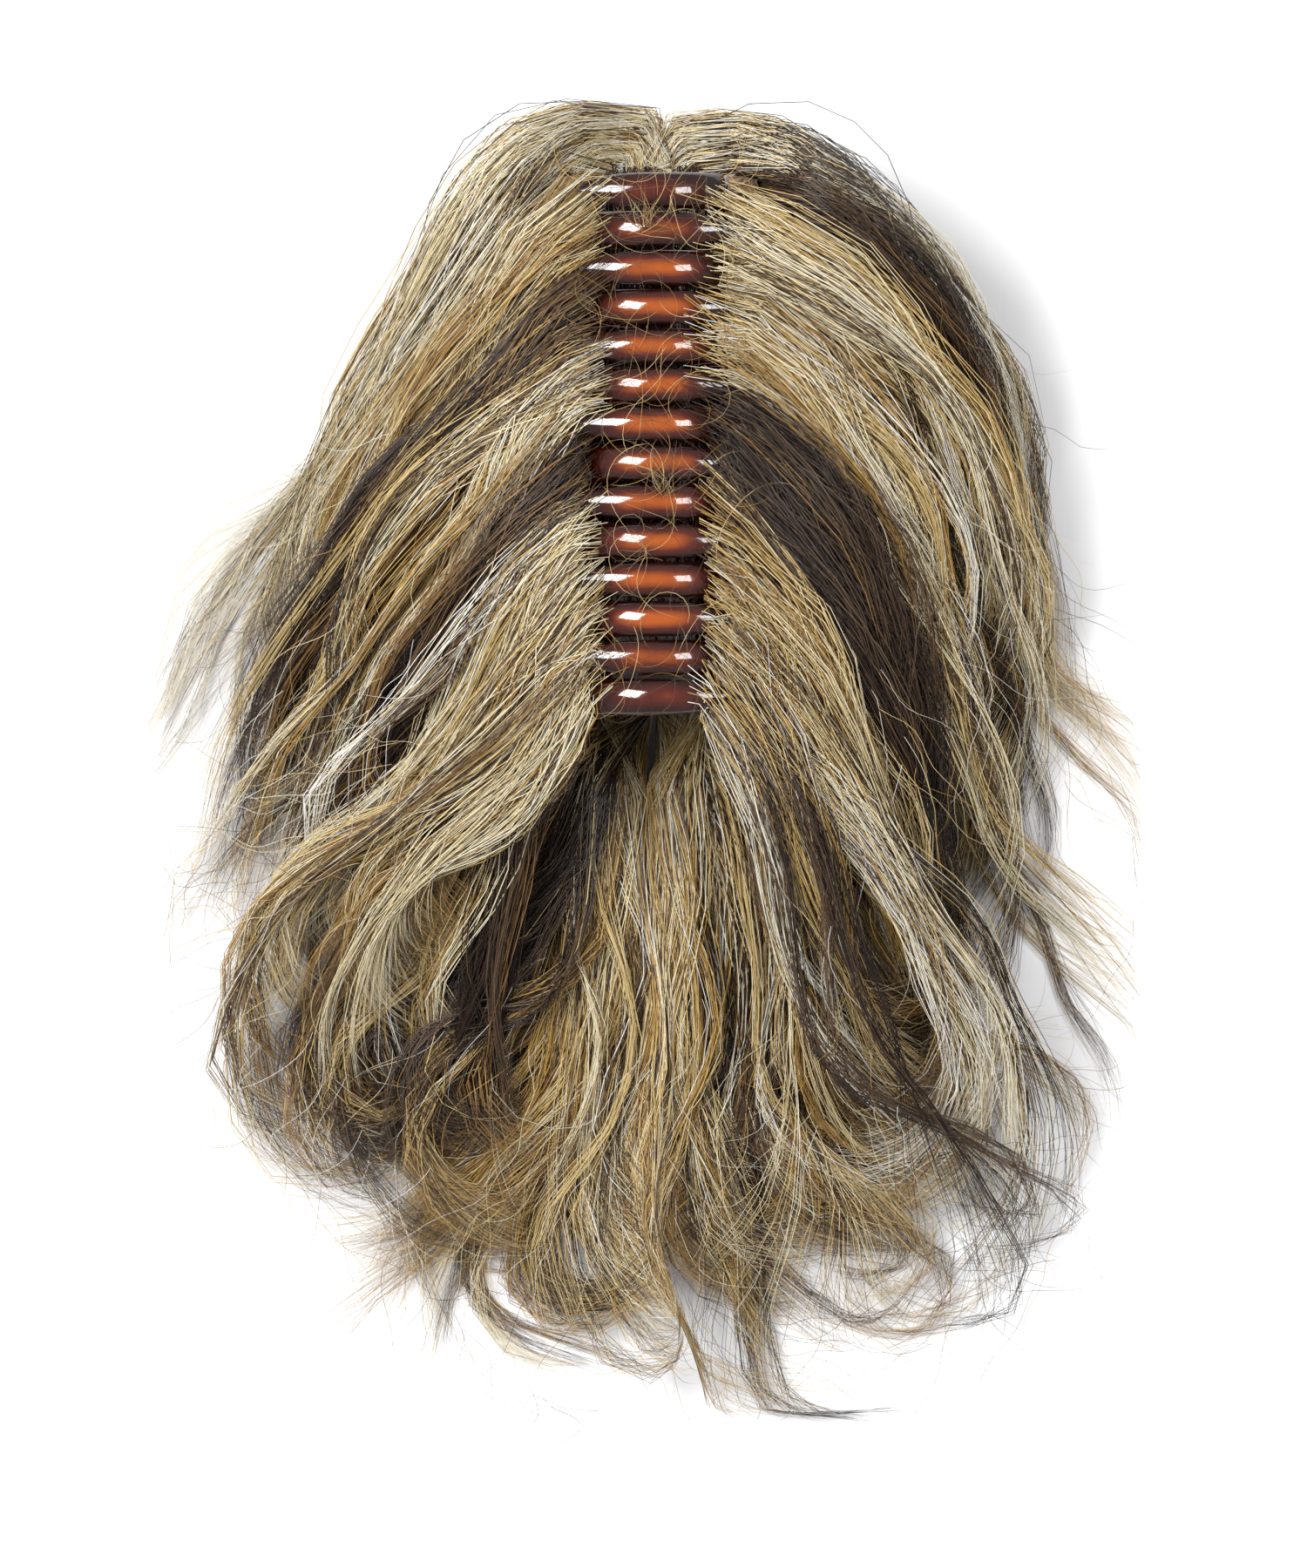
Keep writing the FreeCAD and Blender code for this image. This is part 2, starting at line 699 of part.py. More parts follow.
def make_hair(side):
    """Every lock of one half: crown, side, bottom and the under layer."""
    name = SIDE_NAMES[side]
    for family, lines in PARTINGS[side].items():
        heights = upper_heights if family == "side" else end_heights
        for number in range(len(lines) - 1):
            first = parting(side, family, number)
            second = parting(side, family, number + 1)
            label = f"{family}_lock_{name}_{number + 1}"
            make_lock(label, side, first, second, heights, nearest=family == "crown")
    end = size("under_end")
    for number in range(0, len(PARTINGS[side]["side"]) - 1, UNDER_SPAN):
        first = parting(side, "side", number)
        second = parting(side, "side", number + UNDER_SPAN)
        label = f"under_lock_{name}_{number // UNDER_SPAN + 1}"
        make_lock(label, side, first, second, under_heights, end)


def write_parts():
    """Check every object, then write each sub-part's STEP file."""
    pieces = []
    for item in doc.Objects:
        if "Invalid" in item.State or "Error" in item.State:
            raise ValueError(f"{item.Label} is {item.State}")
        is_piece = item.TypeId in ("PartDesign::Body", "Part::Feature")
        if is_piece:
            if item.Shape.isNull() or not item.Shape.isValid():
                raise ValueError(f"{item.Label} has no valid shape")
            pieces.append(item)
    for piece in pieces:
        piece.Shape.exportStep(f"parts/{piece.Label}.step")
    print(len(pieces), "parts written")


os.makedirs("parts", exist_ok=True)
doc = FreeCAD.newDocument("hairpiece")
sheet = make_sheet(all_sizes())
make_pin()
make_spring()
for half in (LEFT, RIGHT):
    make_jaw(half)
    make_side_weft(half, "upper", "Sizes.upper_weft_low", "Sizes.upper_weft_high")
    make_side_weft(half, "lower", "-Sizes.lower_weft_low", "Sizes.lower_weft_high")
    make_end_weft(half, "crown", 1)
    make_end_weft(half, "bottom", -1)
    make_stitching(half)
    make_hair(half)
doc.recompute()
write_parts()
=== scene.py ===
"""The looks of a claw clip hairpiece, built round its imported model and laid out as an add-on."""

import json
import math

import bmesh
import bpy
import numpy as np
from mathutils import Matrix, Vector


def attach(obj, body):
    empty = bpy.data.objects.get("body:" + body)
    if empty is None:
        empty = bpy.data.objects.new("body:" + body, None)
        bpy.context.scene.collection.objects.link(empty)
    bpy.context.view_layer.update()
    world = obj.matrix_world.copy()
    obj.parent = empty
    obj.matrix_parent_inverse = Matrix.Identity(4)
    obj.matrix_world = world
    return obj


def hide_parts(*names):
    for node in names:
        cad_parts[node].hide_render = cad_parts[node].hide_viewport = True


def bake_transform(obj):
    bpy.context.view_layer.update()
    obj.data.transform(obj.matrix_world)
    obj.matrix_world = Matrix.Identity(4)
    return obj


bl_info = {
    "name": "Claw clip hairpiece",
    "version": (1, 0, 0),
    "blender": (4, 5, 0),
    "location": "3D View > Sidebar > Hairpiece",
    "description": "Finishes the clip and grows the hair of a claw clip hairpiece",
    "category": "Object",
}

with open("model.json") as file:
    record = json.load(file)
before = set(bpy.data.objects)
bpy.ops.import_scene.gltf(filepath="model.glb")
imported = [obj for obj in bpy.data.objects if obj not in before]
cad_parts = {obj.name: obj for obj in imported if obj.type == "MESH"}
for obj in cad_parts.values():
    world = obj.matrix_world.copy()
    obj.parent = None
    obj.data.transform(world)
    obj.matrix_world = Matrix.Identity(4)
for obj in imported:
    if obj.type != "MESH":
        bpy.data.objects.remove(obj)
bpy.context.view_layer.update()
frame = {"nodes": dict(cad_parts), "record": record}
MM = 0.001
LEFT, RIGHT = -1, 1
SIDE_NAMES = {LEFT: "left", RIGHT: "right"}

# Places and sizes in mm. X runs across the hairpiece, Y up along the clip and Z up off the floor.
FLOOR_GAP = 0.25  # that hair keeps from the floor
SHELL_MIDDLE = 31.5  # height of the middle of the round inside
SHELL_RADIUS = 16.9  # just outside the jaws' plates
SHELL_LOW = 12.0  # height above which hair keeps outside the plates
CLIP_ENDS = (9.0, 97.0)  # between which hair keeps outside the plates
CLIP_MIDDLE = 52.8
TEETH_TOP = 49.4
FIRST_TOOTH, TOOTH_STEP = 10.55, 6.5  # counting both jaws' teeth
WAY_RADIUS, WAY_EDGE = 14.4, 12.8  # the way through the jaws, and where its hair turns upwards
END_ROOTS = 7.8  # where the bottom hair comes out of the clip
HAIR_TOP = 47.0  # height of the outer hair beside the clip
EDGE_HEIGHT = 3.0  # height of the outer hair at the tips
TUFTS = {LEFT: (-1.5, 88.5), RIGHT: (1.5, 45.0)}  # where hairs poke up between teeth
OUTLINE_X, OUTLINE_Y = (-82.0, 82.0), (-111.0, 111.0)  # past which strays are held back
WEDGE_TOP, WEDGE_SLOPE = 16.6, 1.25  # the space under the hinge that stays free as the clip opens
PARTING_SOFTNESS = 2.5  # how near the parting the hair starts to bunch up
PARTING_OVERLAP = 1.5  # how far past the parting hair may lie

SHADE_COLUMNS = 48  # columns of the hair's map, darkest first
MAP_NAMES = ("strand", "OFBake")
ALONG, AROUND = 0, 1  # a drawn curve's own map directions

# Shades on the scale from darkest to palest.
SHADES = {
    "dark": 0.03,
    "brown": 0.15,
    "taupe": 0.29,
    "honey": 0.44,
    "gold": 0.56,
    "straw": 0.69,
    "pale": 0.83,
    "silver": 0.96,
}
SCALE_COLOURS = (
    (0.00, (0.014, 0.007, 0.004)),
    (0.15, (0.050, 0.026, 0.015)),
    (0.29, (0.140, 0.085, 0.048)),
    (0.44, (0.320, 0.165, 0.045)),
    (0.56, (0.560, 0.340, 0.080)),
    (0.69, (0.760, 0.580, 0.270)),
    (0.83, (0.950, 0.860, 0.600)),
    (0.96, (0.950, 0.930, 0.880)),
)
# What a tress's hair is made up of: shades and their weights.
BLONDE = (("pale", 5), ("straw", 3), ("silver", 2), ("gold", 2), ("taupe", 1.6), ("brown", 0.6))
SILVERY = (("silver", 4), ("pale", 4), ("straw", 2), ("taupe", 2), ("gold", 1), ("brown", 0.8))
GOLDEN = (
    ("gold", 4), ("straw", 4), ("pale", 3), ("honey", 2.5), ("taupe", 1.2), ("brown", 0.8), ("silver", 1),
)
MIXED = (("straw", 3), ("taupe", 3), ("brown", 2.5), ("gold", 2), ("pale", 2), ("honey", 1.5), ("silver", 1))
BROWN = (("brown", 7), ("taupe", 4), ("dark", 2), ("honey", 1.5), ("straw", 0.5))
DARK = (("dark", 3), ("brown", 5), ("taupe", 2), ("honey", 0.5))


# A tress's root is its stretch of the clip. It lies at sink below the outer hair and is as thick as depth. Its
# tips curl by curl degrees. Its outer and inner roots are at the two angles round the jaw, in degrees, and it is
# down on the floor after reach. It may start at another top than the outer hair's, and share thins it out.
def tress(root, line, shades, strands, sink=0.0, depth=6.0, curl=65.0, angle=(58, 20), reach=105.0, **more):
    """One tress: where along the clip its roots lie, its middle line as (x, y, half width), and its hair."""
    return dict(root=root, line=line, shades=shades, strands=strands, sink=sink, depth=depth,
                curl=curl, angle=angle, reach=reach, **more)


def crown_tress(root, line, shades, strands, **more):
    """A thick tress that comes out of the clip's top end and turns down beside it."""
    return tress(root, line, shades, strands, end="crown", depth=14, **more)


def bottom_tress(root, line, shades, strands, **more):
    """A tress that falls from the clip's bottom end."""
    return tress(root, line, shades, strands, end="bottom", **more)


def under_tress(root, line, shades, strands, sink=9, depth=14, angle=(10, -40), **more):
    """A thinned tress of the under layer."""
    return tress(root, line, shades, strands, sink=sink, depth=depth, angle=angle, share=0.75, **more)


# Sizes are in mm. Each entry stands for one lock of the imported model.
TRESSES = {
    "crown_lock_left_1": [
        crown_tress((97, 100), [
            (1, 98, 4), (0, 105, 4), (-11, 107, 4.5), (-24, 96, 6), (-35, 79, 5.5), (-47, 60, 5.5),
            (-57, 41, 5), (-65, 20, 5), (-71, 0, 4), (-76, -16, 3), (-79, -26, 2),
        ], SILVERY, 1000, curl=60),
        crown_tress((94, 100), [
            (-4, 98, 4), (-14, 98, 5), (-27, 82, 5.5), (-40, 61, 5.5), (-50, 42, 5.5), (-58, 22, 5),
            (-64, 2, 4.5), (-67, -12, 4),
        ], BLONDE, 600, sink=1.5),
    ],
    "side_lock_left_1": [
        tress((82, 98), [
            (-11, 90, 5), (-20, 82, 5.5), (-30, 68, 5.5), (-41, 51, 5.5), (-50, 34, 5), (-58, 16, 5),
            (-65, 0, 4.5), (-71, -14, 4),
        ], GOLDEN, 750, sink=1.5, curl=60),
        tress((88, 98), [
            (-12, 93, 3), (-22, 84, 3), (-33, 70, 3), (-45, 52, 3), (-54, 33, 3), (-61, 14, 3),
            (-67, -4, 2.5), (-76, -16, 2),
        ], SILVERY, 150, sink=-0.5, curl=40),
    ],
    "side_lock_left_2": [
        tress((68, 84), [
            (-10, 78, 5), (-19, 69, 5), (-28, 58, 5), (-39, 45, 5), (-49, 32, 5), (-59, 18, 5.5),
            (-66, 6, 5.5), (-70, -6, 5), (-71, -18, 4),
        ], BROWN, 1000, sink=-1.9, curl=60),
    ],
    "side_lock_left_3": [
        tress((59, 70), [
            (-9, 66, 3.5), (-19, 59, 5), (-28, 48, 6), (-37, 34, 7), (-46, 20, 7), (-54, 8, 6.5),
            (-63, -3, 5), (-73, -12, 4), (-80, -18, 2.5),
        ], SILVERY, 850, sink=-1.4, curl=55),
        tress((60, 68), [
            (-9, 64, 2.5), (-21, 54, 3), (-33, 37, 3), (-43, 20, 3), (-52, 6, 3), (-62, -5, 3),
            (-74, -13, 2), (-82, -20, 1.5), (-79, -26, 1.5),
        ], BLONDE, 150, sink=-2.6),
    ],
    "side_lock_left_4": [
        tress((45, 59), [
            (-9, 52, 5), (-17, 44, 6), (-27, 31, 5.5), (-37, 17, 4.5), (-45, 5, 4.5), (-54, -7, 4.5),
            (-63, -18, 4), (-70, -30, 3),
        ], BROWN, 950, sink=-1.4, curl=90),
    ],
    "side_lock_left_5": [
        tress((33, 45), [
            (-9, 41, 4), (-18, 34, 5.5), (-27, 20, 6.5), (-34, 9, 6.5), (-44, -3, 6), (-56, -14, 5),
            (-66, -25, 4), (-71, -38, 3),
        ], SILVERY, 850, sink=-1.4, curl=70),
        tress((34, 45), [
            (-10, 39, 3), (-21, 28, 3), (-33, 11, 3), (-46, -4, 3), (-60, -16, 2.5), (-70, -22, 2),
            (-80, -24, 1.5),
        ], BLONDE, 120, sink=-2.6, curl=40),
    ],
    "side_lock_left_6": [
        tress((14, 33), [
            (-9, 26, 5), (-16, 18, 6), (-24, 6, 6.5), (-35, -5, 6), (-47, -14, 5.5), (-59, -23, 4.5),
            (-67, -35, 4),
        ], GOLDEN, 850, sink=-1.8, curl=70),
        tress((10, 24), [
            (-9, 16, 4), (-17, 6, 5), (-27, -6, 5), (-39, -17, 4.5), (-50, -28, 4), (-57, -42, 4),
            (-58, -56, 3),
        ], BLONDE, 350, sink=-0.8, curl=60),
        tress((14, 30), [
            (-10, 22, 3), (-22, 8, 3), (-38, -8, 3), (-54, -17, 2.5), (-66, -26, 2), (-74, -39, 2),
            (-77, -53, 3), (-74, -65, 3), (-65, -72, 3), (-54, -75, 2),
        ], BLONDE, 300, sink=-2.8),
    ],
    "bottom_lock_left_1": [
        bottom_tress((3, 9), [
            (-9, 5, 3), (-20, -3, 4), (-37, -19, 5), (-52, -37, 5.5), (-61, -54, 6), (-61, -70, 5),
            (-53, -82, 4), (-41, -87, 3),
        ], GOLDEN, 480, top=26, sink=1, reach=125, curl=70),
        bottom_tress((3, 9), [
            (-9, 4, 3), (-15, -4, 4), (-22, -16, 5), (-33, -27, 5), (-45, -38, 4.5), (-52, -52, 4),
            (-51, -67, 3.5), (-42, -80, 3),
        ], BROWN, 550, angle=(-40, -60), top=17, curl=50),
        bottom_tress((3, 9), [
            (-8, 3, 2), (-13, -12, 3), (-24, -26, 2.5), (-39, -31, 2), (-54, -36, 2), (-65, -47, 2),
            (-69, -60, 2), (-63, -71, 2), (-52, -80, 1.5),
        ], BROWN, 170, top=18, sink=-4, reach=128),
        bottom_tress((3, 9), [
            (-8, 3, 2), (-12, -16, 3), (-20, -32, 2.5), (-34, -37, 2), (-46, -44, 2), (-55, -56, 2),
            (-56, -68, 2), (-48, -79, 2), (-38, -86, 1.5),
        ], BROWN, 170, top=18, sink=-3, reach=128),
    ],
    "bottom_lock_left_2": [
        bottom_tress((3, 9), [
            (-8, 3, 2), (-14, -22, 2.5), (-22, -40, 2.5), (-38, -46, 2), (-47, -56, 2), (-49, -68, 2),
            (-43, -80, 1.5), (-34, -84, 1.5),
        ], BROWN, 110, top=19, sink=-4, reach=128),
        bottom_tress((3, 5), [
            (-5, 4, 2), (-11, -16, 3), (-15, -34, 3), (-28, -44, 3), (-40, -60, 2.5), (-45, -78, 2.5),
            (-40, -92, 2), (-26, -97, 2),
        ], GOLDEN, 200, top=18, sink=-3, reach=130, curl=40),
        bottom_tress((3, 5), [
            (-6, 4, 3), (-10, -4, 4), (-12, -20, 5), (-13, -36, 5.5), (-16, -52, 6), (-25, -66, 6),
            (-33, -79, 6), (-37, -93, 6), (-33, -104, 4),
        ], GOLDEN, 750, top=16, curl=-20),
        bottom_tress((3, 5), [
            (-5, 4, 2), (-9, -4, 2.5), (-10, -20, 2.5), (-9, -36, 2.5), (-7, -48, 2), (-10, -60, 2),
            (-20, -73, 2), (-32, -82, 2), (-42, -87, 2),
        ], BLONDE, 130, top=19, sink=-2, curl=60),
        bottom_tress((3, 5), [
            (-6, 4, 3), (-12, -8, 4), (-13, -26, 4), (-18, -42, 4), (-30, -52, 4), (-40, -66, 4),
            (-43, -82, 3), (-39, -94, 3),
        ], GOLDEN, 220, top=17, sink=-1, curl=60),
    ],
    "bottom_lock_left_3": [
        bottom_tress((3, 5), [
            (-3, 4, 2), (-8, -24, 3), (-10, -48, 3), (-20, -72, 5), (-29, -89, 6), (-25, -102, 6),
            (-10, -107, 6), (6, -106, 5),
        ], MIXED, 450, top=16, sink=1, curl=20),
        bottom_tress((3, 5), [
            (-3, 4, 3), (-6, -6, 4), (-5, -20, 4.5), (-4, -34, 5), (-5, -49, 5.5), (-9, -66, 6.5),
            (-15, -84, 7), (-20, -100, 7), (-14, -113, 6),
        ], BLONDE, 900, top=17.5, curl=55),
        bottom_tress((3, 5), [
            (-2, 4, 2), (-3, -10, 3), (-2, -30, 3), (-3, -50, 3.5), (-6, -68, 4), (-6, -84, 5), (0, -98, 5),
            (12, -106, 4),
        ], MIXED, 300, top=18, curl=60),
    ],
    "under_lock_left_1": [
        under_tress((66, 95), [
            (-19, 80, 9), (-32, 60, 9), (-44, 40, 9), (-56, 20, 8), (-64, 3, 7), (-68, -14, 6),
            (-66, -30, 5),
        ], BROWN, 500, curl=60),
    ],
    "under_lock_left_2": [
        under_tress((36, 66), [
            (-19, 50, 10), (-31, 33, 10), (-43, 14, 9), (-53, -4, 8), (-60, -21, 7), (-62, -38, 6),
            (-58, -54, 5),
        ], MIXED, 600, curl=90),
    ],
    "under_lock_left_3": [
        under_tress((9, 36), [
            (-19, 20, 10), (-29, 4, 9), (-38, -14, 9), (-45, -33, 8), (-47, -50, 7), (-42, -68, 6),
            (-33, -82, 5),
        ], GOLDEN, 550, curl=100),
        under_tress((9, 30), [
            (-19, 14, 8), (-24, -4, 7), (-27, -24, 6), (-30, -44, 6), (-32, -62, 6), (-30, -80, 5),
        ], DARK, 450, sink=10, depth=10, angle=(-10, -50), curl=20),
    ],
    "crown_lock_right_1": [
        crown_tress((97, 100), [
            (0, 98, 4), (3, 104, 4.5), (17, 104.5, 4.5), (32, 95, 2.5), (44, 83, 2.5), (54, 67, 2.5),
            (62, 49, 3), (69, 30, 3), (74, 10, 3), (77, -6, 3),
        ], BLONDE, 700, curl=45),
        crown_tress((94, 100), [
            (4, 98, 4), (17, 98, 7), (30, 89, 8), (42, 76, 6), (51, 63, 5), (58, 47, 4.5), (64, 30, 4),
            (69, 12, 4),
        ], BROWN, 900, sink=0.5),
    ],
    "side_lock_right_1": [
        tress((80, 96), [
            (9, 87, 5), (17, 86, 6), (28, 80, 7), (39, 71, 7.5), (49, 58, 7), (57, 42, 6.5), (64, 25, 5.5),
            (69, 9, 5), (72, -5, 4.5), (77, -14, 3.5),
        ], BLONDE, 950, sink=-1.2, curl=115),
        tress((82, 94), [
            (9, 84, 3), (20, 83, 3), (33, 75, 3), (45, 62, 3), (55, 44, 3), (63, 24, 3), (69, 5, 3),
            (76, -9, 2.5), (83, -17, 2), (82, -25, 1.5), (76, -29, 1.5),
        ], SILVERY, 150, sink=-2.4),
    ],
    "side_lock_right_2": [
        tress((64, 80), [
            (9, 73, 6), (19, 70, 8), (30, 59, 8), (41, 43, 7.5), (50, 26, 7), (57, 10, 6), (62, -7, 5.5),
            (65, -22, 5),
        ], SILVERY, 950, sink=-0.8, curl=90),
        tress((64, 78), [
            (9, 70, 3), (21, 64, 3.5), (33, 51, 3.5), (43, 35, 3.5), (51, 18, 3), (58, 0, 3), (63, -18, 3),
        ], BLONDE, 160, sink=-2.0),
    ],
    "side_lock_right_3": [
        tress((50, 64), [
            (8, 57, 6), (17, 50, 7.5), (27, 39, 8), (37, 25, 7.5), (45, 10, 7), (51, -6, 7), (56, -22, 6.5),
            (61, -38, 5),
        ], BROWN, 1000, sink=-1.5, curl=80),
    ],
    "side_lock_right_4": [
        tress((38, 50), [
            (8, 46, 4), (17, 36, 6), (27, 22, 6), (35, 8, 6), (40, -8, 6), (44, -25, 6), (49, -42, 5),
            (58, -55, 4),
        ], DARK, 750, sink=-0.6, curl=70),
        tress((38, 50), [
            (9, 44, 3), (19, 35, 3), (30, 20, 3), (38, 3, 3), (43, -15, 3), (47, -33, 3), (54, -48, 3),
            (66, -57, 2), (74, -52, 2),
        ], GOLDEN, 160, sink=-1.0),
    ],
    "side_lock_right_5": [
        tress((22, 38), [
            (8, 31, 4), (17, 25, 6.5), (26, 12, 7.5), (33, -3, 7), (38, -19, 6.5), (42, -35, 6),
            (49, -49, 5), (60, -57, 4),
        ], GOLDEN, 900, sink=-1.0, curl=-30),
        tress((22, 36), [
            (9, 28, 3), (20, 20, 3), (30, 5, 3), (38, -14, 3), (43, -32, 3), (54, -46, 3), (67, -53, 2),
            (75, -62, 2), (73, -74, 2), (64, -80, 1.5),
        ], BLONDE, 130, sink=-2.2),
    ],
    "side_lock_right_6": [
        tress((8, 22), [
            (8, 17, 5), (13, 9, 6), (21, -4, 6.5), (26, -20, 6.5), (29, -37, 6), (33, -53, 6), (42, -67, 5),
            (53, -73, 4),
        ], MIXED, 850, sink=-0.5, curl=-60),
        tress((8, 22), [
            (9, 10, 4), (22, 0, 5), (38, -17, 5.5), (50, -37, 6), (57, -57, 6), (55, -74, 5), (46, -85, 4),
            (33, -89, 3),
        ], SILVERY, 480, sink=4, reach=125, curl=70),
        tress((8, 22), [
            (9, 14, 3), (17, 3, 3), (25, -14, 3), (29, -33, 3), (35, -51, 3), (47, -62, 2.5), (60, -70, 2),
            (71, -77, 2), (73, -84, 1.5), (63, -90, 1.5), (50, -95, 1.5),
        ], BROWN, 110, sink=-2.5, reach=128),
    ],
    "bottom_lock_right_1": [
        bottom_tress((3, 9), [
            (8, 4, 2), (15, -10, 2.5), (21, -32, 3), (22, -54, 3), (30, -68, 3), (44, -74, 2.5),
            (55, -82, 2), (52, -95, 2), (40, -104, 1.5),
        ], GOLDEN, 180, top=18, sink=-1, curl=20),
        bottom_tress((3, 9), [
            (9, 5, 3), (16, -3, 4), (22, -18, 5), (24, -34, 5.5), (23, -50, 5.5), (23, -66, 6),
            (29, -81, 5), (40, -89, 4),
        ], GOLDEN, 750, top=18, curl=-80),
        bottom_tress((3, 9), [
            (9, 4, 2), (19, -12, 2.5), (25, -32, 2.5), (26, -52, 2.5), (31, -70, 2.5), (42, -83, 2),
            (54, -84, 2), (57, -74, 2), (50, -66, 1.5),
        ], BLONDE, 120, top=19, sink=-2),
    ],
    "bottom_lock_right_2": [
        bottom_tress((3, 5), [
            (5, 4, 3), (10, -3, 4), (15, -18, 5), (17, -34, 5.5), (17, -50, 6), (15, -66, 6),
            (18, -83, 6.5), (24, -97, 6), (32, -105, 4),
        ], MIXED, 750, top=16, curl=-60),
        bottom_tress((3, 5), [
            (6, 4, 2), (12, -6, 3), (18, -24, 3), (19, -44, 3), (16, -64, 3), (18, -82, 3), (28, -96, 3),
            (40, -101, 2.5), (50, -94, 2),
        ], BROWN, 180, top=18, sink=-1),
    ],
    "bottom_lock_right_3": [
        bottom_tress((3, 5), [
            (2, 6, 5), (3, -8, 5), (4, -24, 5), (4, -42, 5), (5, -60, 5), (7, -78, 5), (12, -94, 6),
            (17, -107, 5),
        ], BLONDE, 600, top=20, sink=-1, curl=-20),
        bottom_tress((3, 5), [
            (2, 4, 2), (4, -22, 3), (5, -48, 3), (1, -72, 3), (5, -90, 2.5), (18, -99, 2), (31, -96, 2),
            (38, -86, 1.5),
        ], BLONDE, 170, top=19, sink=-2, curl=40),
        bottom_tress((3, 5), [
            (3, 4, 3), (6, -4, 4), (9, -20, 4.5), (10, -36, 5), (8, -51, 5.5), (4, -66, 6), (4, -82, 7),
            (8, -98, 7), (10, -110, 5),
        ], GOLDEN, 850, top=17, curl=-50),
        bottom_tress((3, 5), [
            (2, 4, 2), (5, -12, 3), (7, -32, 3), (6, -52, 3.5), (3, -70, 4), (4, -88, 4), (14, -101, 3),
            (27, -104, 3),
        ], SILVERY, 250, top=18.5, sink=-1, curl=-30),
    ],
    "under_lock_right_1": [
        under_tress((66, 95), [
            (19, 80, 9), (32, 62, 9), (45, 42, 9), (57, 21, 8), (65, 2, 7), (70, -17, 6), (70, -34, 5),
        ], BROWN, 500, curl=60),
    ],
    "under_lock_right_2": [
        under_tress((36, 66), [
            (19, 50, 10), (32, 32, 10), (44, 12, 9), (54, -9, 8), (61, -29, 7), (66, -47, 6), (72, -60, 5),
        ], MIXED, 600, curl=90),
    ],
    "under_lock_right_3": [
        under_tress((9, 36), [
            (19, 20, 10), (29, 4, 9), (37, -16, 9), (41, -36, 8), (43, -54, 7), (43, -71, 6), (37, -86, 5),
        ], GOLDEN, 550, curl=100),
        under_tress((9, 30), [
            (19, 14, 8), (24, -4, 7), (27, -24, 6), (28, -44, 6), (28, -62, 6), (26, -80, 5),
        ], DARK, 450, sink=10, depth=10, angle=(-10, -50), curl=20),
    ],
}


# --- Materials ---------------------------------------------------------------------------------


def new_material(name):
    """A material with a Principled BSDF; returns it with its node tree and that shader."""
    material = bpy.data.materials.new(name)
    material.use_nodes = True
    return material, material.node_tree, material.node_tree.nodes["Principled BSDF"]


def feed(tree, node, inputs):
    """Sets a node's inputs to values, or links them to other nodes' outputs."""
    for name, value in inputs.items():
        if isinstance(value, bpy.types.NodeSocket):
            tree.links.new(value, node.inputs[name])
        else:
            node.inputs[name].default_value = value


def add_node(tree, kind, inputs, **properties):
    """A new node with these properties and inputs."""
    node = tree.nodes.new(kind)
    for name, value in properties.items():
        setattr(node, name, value)
    feed(tree, node, inputs)
    return node


def object_place(tree):
    """The place on the object, in metres."""
    return add_node(tree, "ShaderNodeTexCoord", {}).outputs["Object"]


def split_place(tree, place):
    """The X, Y and Z of a place."""
    return add_node(tree, "ShaderNodeSeparateXYZ", {"Vector": place}).outputs


def noise(tree, place, scale):
    """Soft noise from 0 to 1."""
    return add_node(tree, "ShaderNodeTexNoise", {"Vector": place, "Scale": scale}).outputs["Fac"]


def scalar(tree, operation, *values, clamp=False):
    """The outcome of a sum on sockets or numbers."""
    inputs = dict(enumerate(values))
    return add_node(tree, "ShaderNodeMath", inputs, operation=operation, use_clamp=clamp).outputs[0]


def map_range(tree, value, given, wanted, **properties):
    """A value carried from the given range to the wanted one."""
    ends = {"From Min": given[0], "From Max": given[1], "To Min": wanted[0], "To Max": wanted[1]}
    return add_node(tree, "ShaderNodeMapRange", {"Value": value, **ends}, **properties).outputs["Result"]


def ramp(tree, value, stops):
    """The colour at this value between these (position, colour) stops."""
    node = add_node(tree, "ShaderNodeValToRGB", {"Fac": value})
    elements = node.color_ramp.elements
    while len(elements) < len(stops):
        elements.new(0.5)
    for element, (position, colour) in zip(elements, stops):
        element.position = position
        element.color = (*colour, 1.0)
    return node.outputs["Color"]


def new_group(name, inputs, outputs):
    """An empty shader node group with these (name, socket type, default) inputs and outputs."""
    group = bpy.data.node_groups.new(name, "ShaderNodeTree")
    for direction, sockets in (("INPUT", inputs), ("OUTPUT", outputs)):
        for title, kind, default in sockets:
            socket = group.interface.new_socket(title, in_out=direction, socket_type=kind)
            if default is not None:
                socket.default_value = default
    return group, group.nodes.new("NodeGroupInput"), group.nodes.new("NodeGroupOutput")


